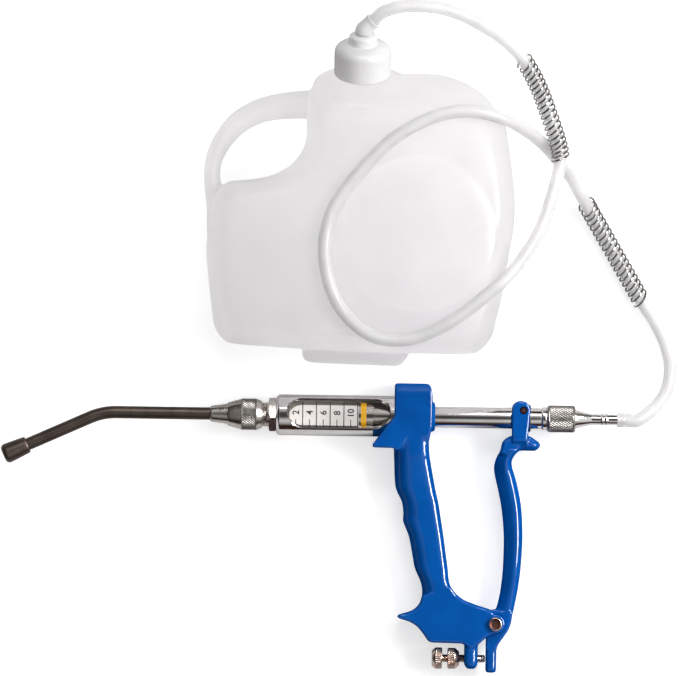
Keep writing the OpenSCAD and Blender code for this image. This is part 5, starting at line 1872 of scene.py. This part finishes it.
@dataclass
class Studio:
    """Camera above the table, white floor and soft light from the right."""

    middle: Tuple[float, float] = (-12.7, -73.2)
    roll: float = 0.89
    lens: float = 800.0
    high: float = 9376.0
    key_power: float = 25.0
    floor_half: float = 4.0
    floor_low: float = -0.0006

    def camera(self) -> None:
        """Long lens straight above the object."""
        view = bpy.data.cameras.new("camera")
        view.lens = self.lens
        view.sensor_width = 36.0
        made = bpy.data.objects.new("camera", view)
        made.location = (self.middle[0] * MM, self.middle[1] * MM, self.high * MM)
        made.rotation_euler = (0.0, 0.0, math.radians(self.roll))
        bpy.context.collection.objects.link(made)
        bpy.context.scene.camera = made

    def floor(self) -> None:
        """Lays the white paper floor."""
        mesh = bpy.data.meshes.new("floor")
        half, low = self.floor_half, self.floor_low
        corners = [(-half, -half, low), (half, -half, low), (half, half, low), (-half, half, low)]
        mesh.from_pydata(corners, [], [(0, 1, 2, 3)])
        made = bpy.data.objects.new("floor", mesh)
        bpy.context.collection.objects.link(made)
        mesh.materials.append(PAPER.material())

    def room(self) -> None:
        """Room that the metal mirrors: pale above and to the right, brown and dark in front."""
        world = bpy.data.worlds.new("room")
        world.use_nodes = True
        bpy.context.scene.world = world
        tree = world.node_tree
        tree.nodes.clear()
        place = add_node(tree, "ShaderNodeTexCoord", out="Generated")
        x, y, z = add_node(tree, "ShaderNodeSeparateXYZ", inputs={0: place}).node.outputs
        rays = add_node(tree, "ShaderNodeLightPath").node.outputs
        height = add_node(tree, "ShaderNodeValToRGB", inputs={0: z})
        ramp = height.node.color_ramp
        ramp.elements[0].position, ramp.elements[0].color = 0.0, to_linear("#5E5A56")
        ramp.elements[1].position, ramp.elements[1].color = 1.0, to_linear("#C8C6C6")
        for spot, code in ((0.35, "#84837C"), (0.62, "#A2A29C"), (0.8, "#DADADA")):
            ramp.elements.new(spot).color = to_linear(code)
        # Each part of the room: the axis it is told by, what it grows from and to, and where
        spans = {
            "right": (x, 0.35, 1.45, -0.8, 0.8), "right_mirrored": (x, 0.1, 1.7, -0.8, 0.8),
            "overhead": (z, 0.0, 0.92, 0.9, 0.985),
            "front": (y, 0.0, 1.0, -0.55, -0.8), "front_low": (z, 1.0, 0.0, 0.45, 0.6),
            "back": (y, 0.0, 0.95, 0.8, 0.92), "back_low": (z, 1.0, 0.0, 0.4, 0.55)}
        part = {name: add_node(tree, "ShaderNodeMapRange", inputs={"Value": axis, **ranged(*span)})
                for name, (axis, *span) in spans.items()}
        power = add_node(tree, "ShaderNodeMix", {"data_type": "FLOAT"}, {
            0: rays["Is Glossy Ray"], 2: part["right"], 3: part["right_mirrored"]})
        brown = add_node(tree, "ShaderNodeMath", {"operation": "MULTIPLY"}, {
            0: part["front"], 1: part["front_low"]})
        walls = add_node(tree, "ShaderNodeMix", {"data_type": "RGBA"}, {
            0: brown, 6: height, 7: to_linear("#3B2521")}, 2)
        hole = add_node(tree, "ShaderNodeMath", {"operation": "MULTIPLY"}, {
            0: part["overhead"], 1: rays["Is Glossy Ray"]})
        brim = add_node(tree, "ShaderNodeMath", {"operation": "MULTIPLY"}, {
            0: part["back"], 1: part["back_low"]})
        gaps = add_node(tree, "ShaderNodeMath", {"operation": "MAXIMUM"}, {0: hole, 1: brim})
        colour = add_node(tree, "ShaderNodeMix", {"data_type": "RGBA"}, {
            0: gaps, 6: walls, 7: to_linear("#2E2B29")}, 2)
        light = add_node(tree, "ShaderNodeBackground", inputs={"Color": colour, "Strength": power})
        white = add_node(tree, "ShaderNodeBackground", inputs={
            "Color": (1, 1, 1, 1), "Strength": 1.0})
        shown = add_node(tree, "ShaderNodeMixShader", inputs={
            0: rays["Is Camera Ray"], 1: light, 2: white})
        add_node(tree, "ShaderNodeOutputWorld", inputs={"Surface": shown})

    def lamp(self, name: str, place: Sequence[float], size: Tuple[float, float], power: float,
             dull: bool = True, gloss: bool = True) -> None:
        """Soft box aimed at the middle of the object.

        Args:
            name: name of the lamp.
            place: where it stands, in metres.
            size: its width and height in metres.
            power: its power in watts.
            dull: whether it lights dull surfaces.
            gloss: whether gloss and metal mirror it.
        """
        light = bpy.data.lights.new(name, "AREA")
        light.shape = "RECTANGLE"
        light.size, light.size_y = size
        light.energy = power
        made = bpy.data.objects.new(name, light)
        made.location = place
        aim = Vector((self.middle[0] * MM, self.middle[1] * MM, 0.03)) - Vector(place)
        made.rotation_euler = aim.to_track_quat("-Z", "Y").to_euler()
        made.visible_diffuse, made.visible_glossy = dull, gloss
        bpy.context.collection.objects.link(made)

    def build(self) -> None:
        """Lights the room and lays the floor."""
        self.floor()
        self.room()
        self.lamp("key", (1.25, 0.25, 1.2), (1.1, 0.5), self.key_power, gloss=False)
        self.lamp("strip", (1.3, 0.25, 1.2), (1.2, 0.5), self.key_power * 3.0, dull=False)
        self.lamp("fill", (0.1, 1.3, 1.5), (0.9, 0.5), self.key_power * 0.5)
        bpy.context.scene.view_settings.view_transform = "Standard"


def finish_nodes() -> None:
    """Gives each CAD node that stays in view its finish and smooth shading."""
    for name, finish in CAD_FINISH.items():
        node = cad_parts[name]
        node.data.materials.clear()
        node.data.materials.append(finish.material())
        smooth(node.data, 30.0)
        LOG.info("%s keeps its CAD form, finished as %s", name, finish.name)


def main() -> None:
    """Builds the studio and every sub-assembly in order."""
    logging.basicConfig(level=logging.INFO, format="%(message)s")
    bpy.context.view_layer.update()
    studio = Studio()
    studio.camera()
    Hose().build()
    Can().build()
    GripFrame().build()
    Lever().build()
    Barrel().build()
    Nozzle().build()
    Plunger().build()
    DoseScrew().build()
    PivotPin().build()
    finish_nodes()
    studio.build()
    LOG.info("size written")


if __name__ == "__main__":
    main()
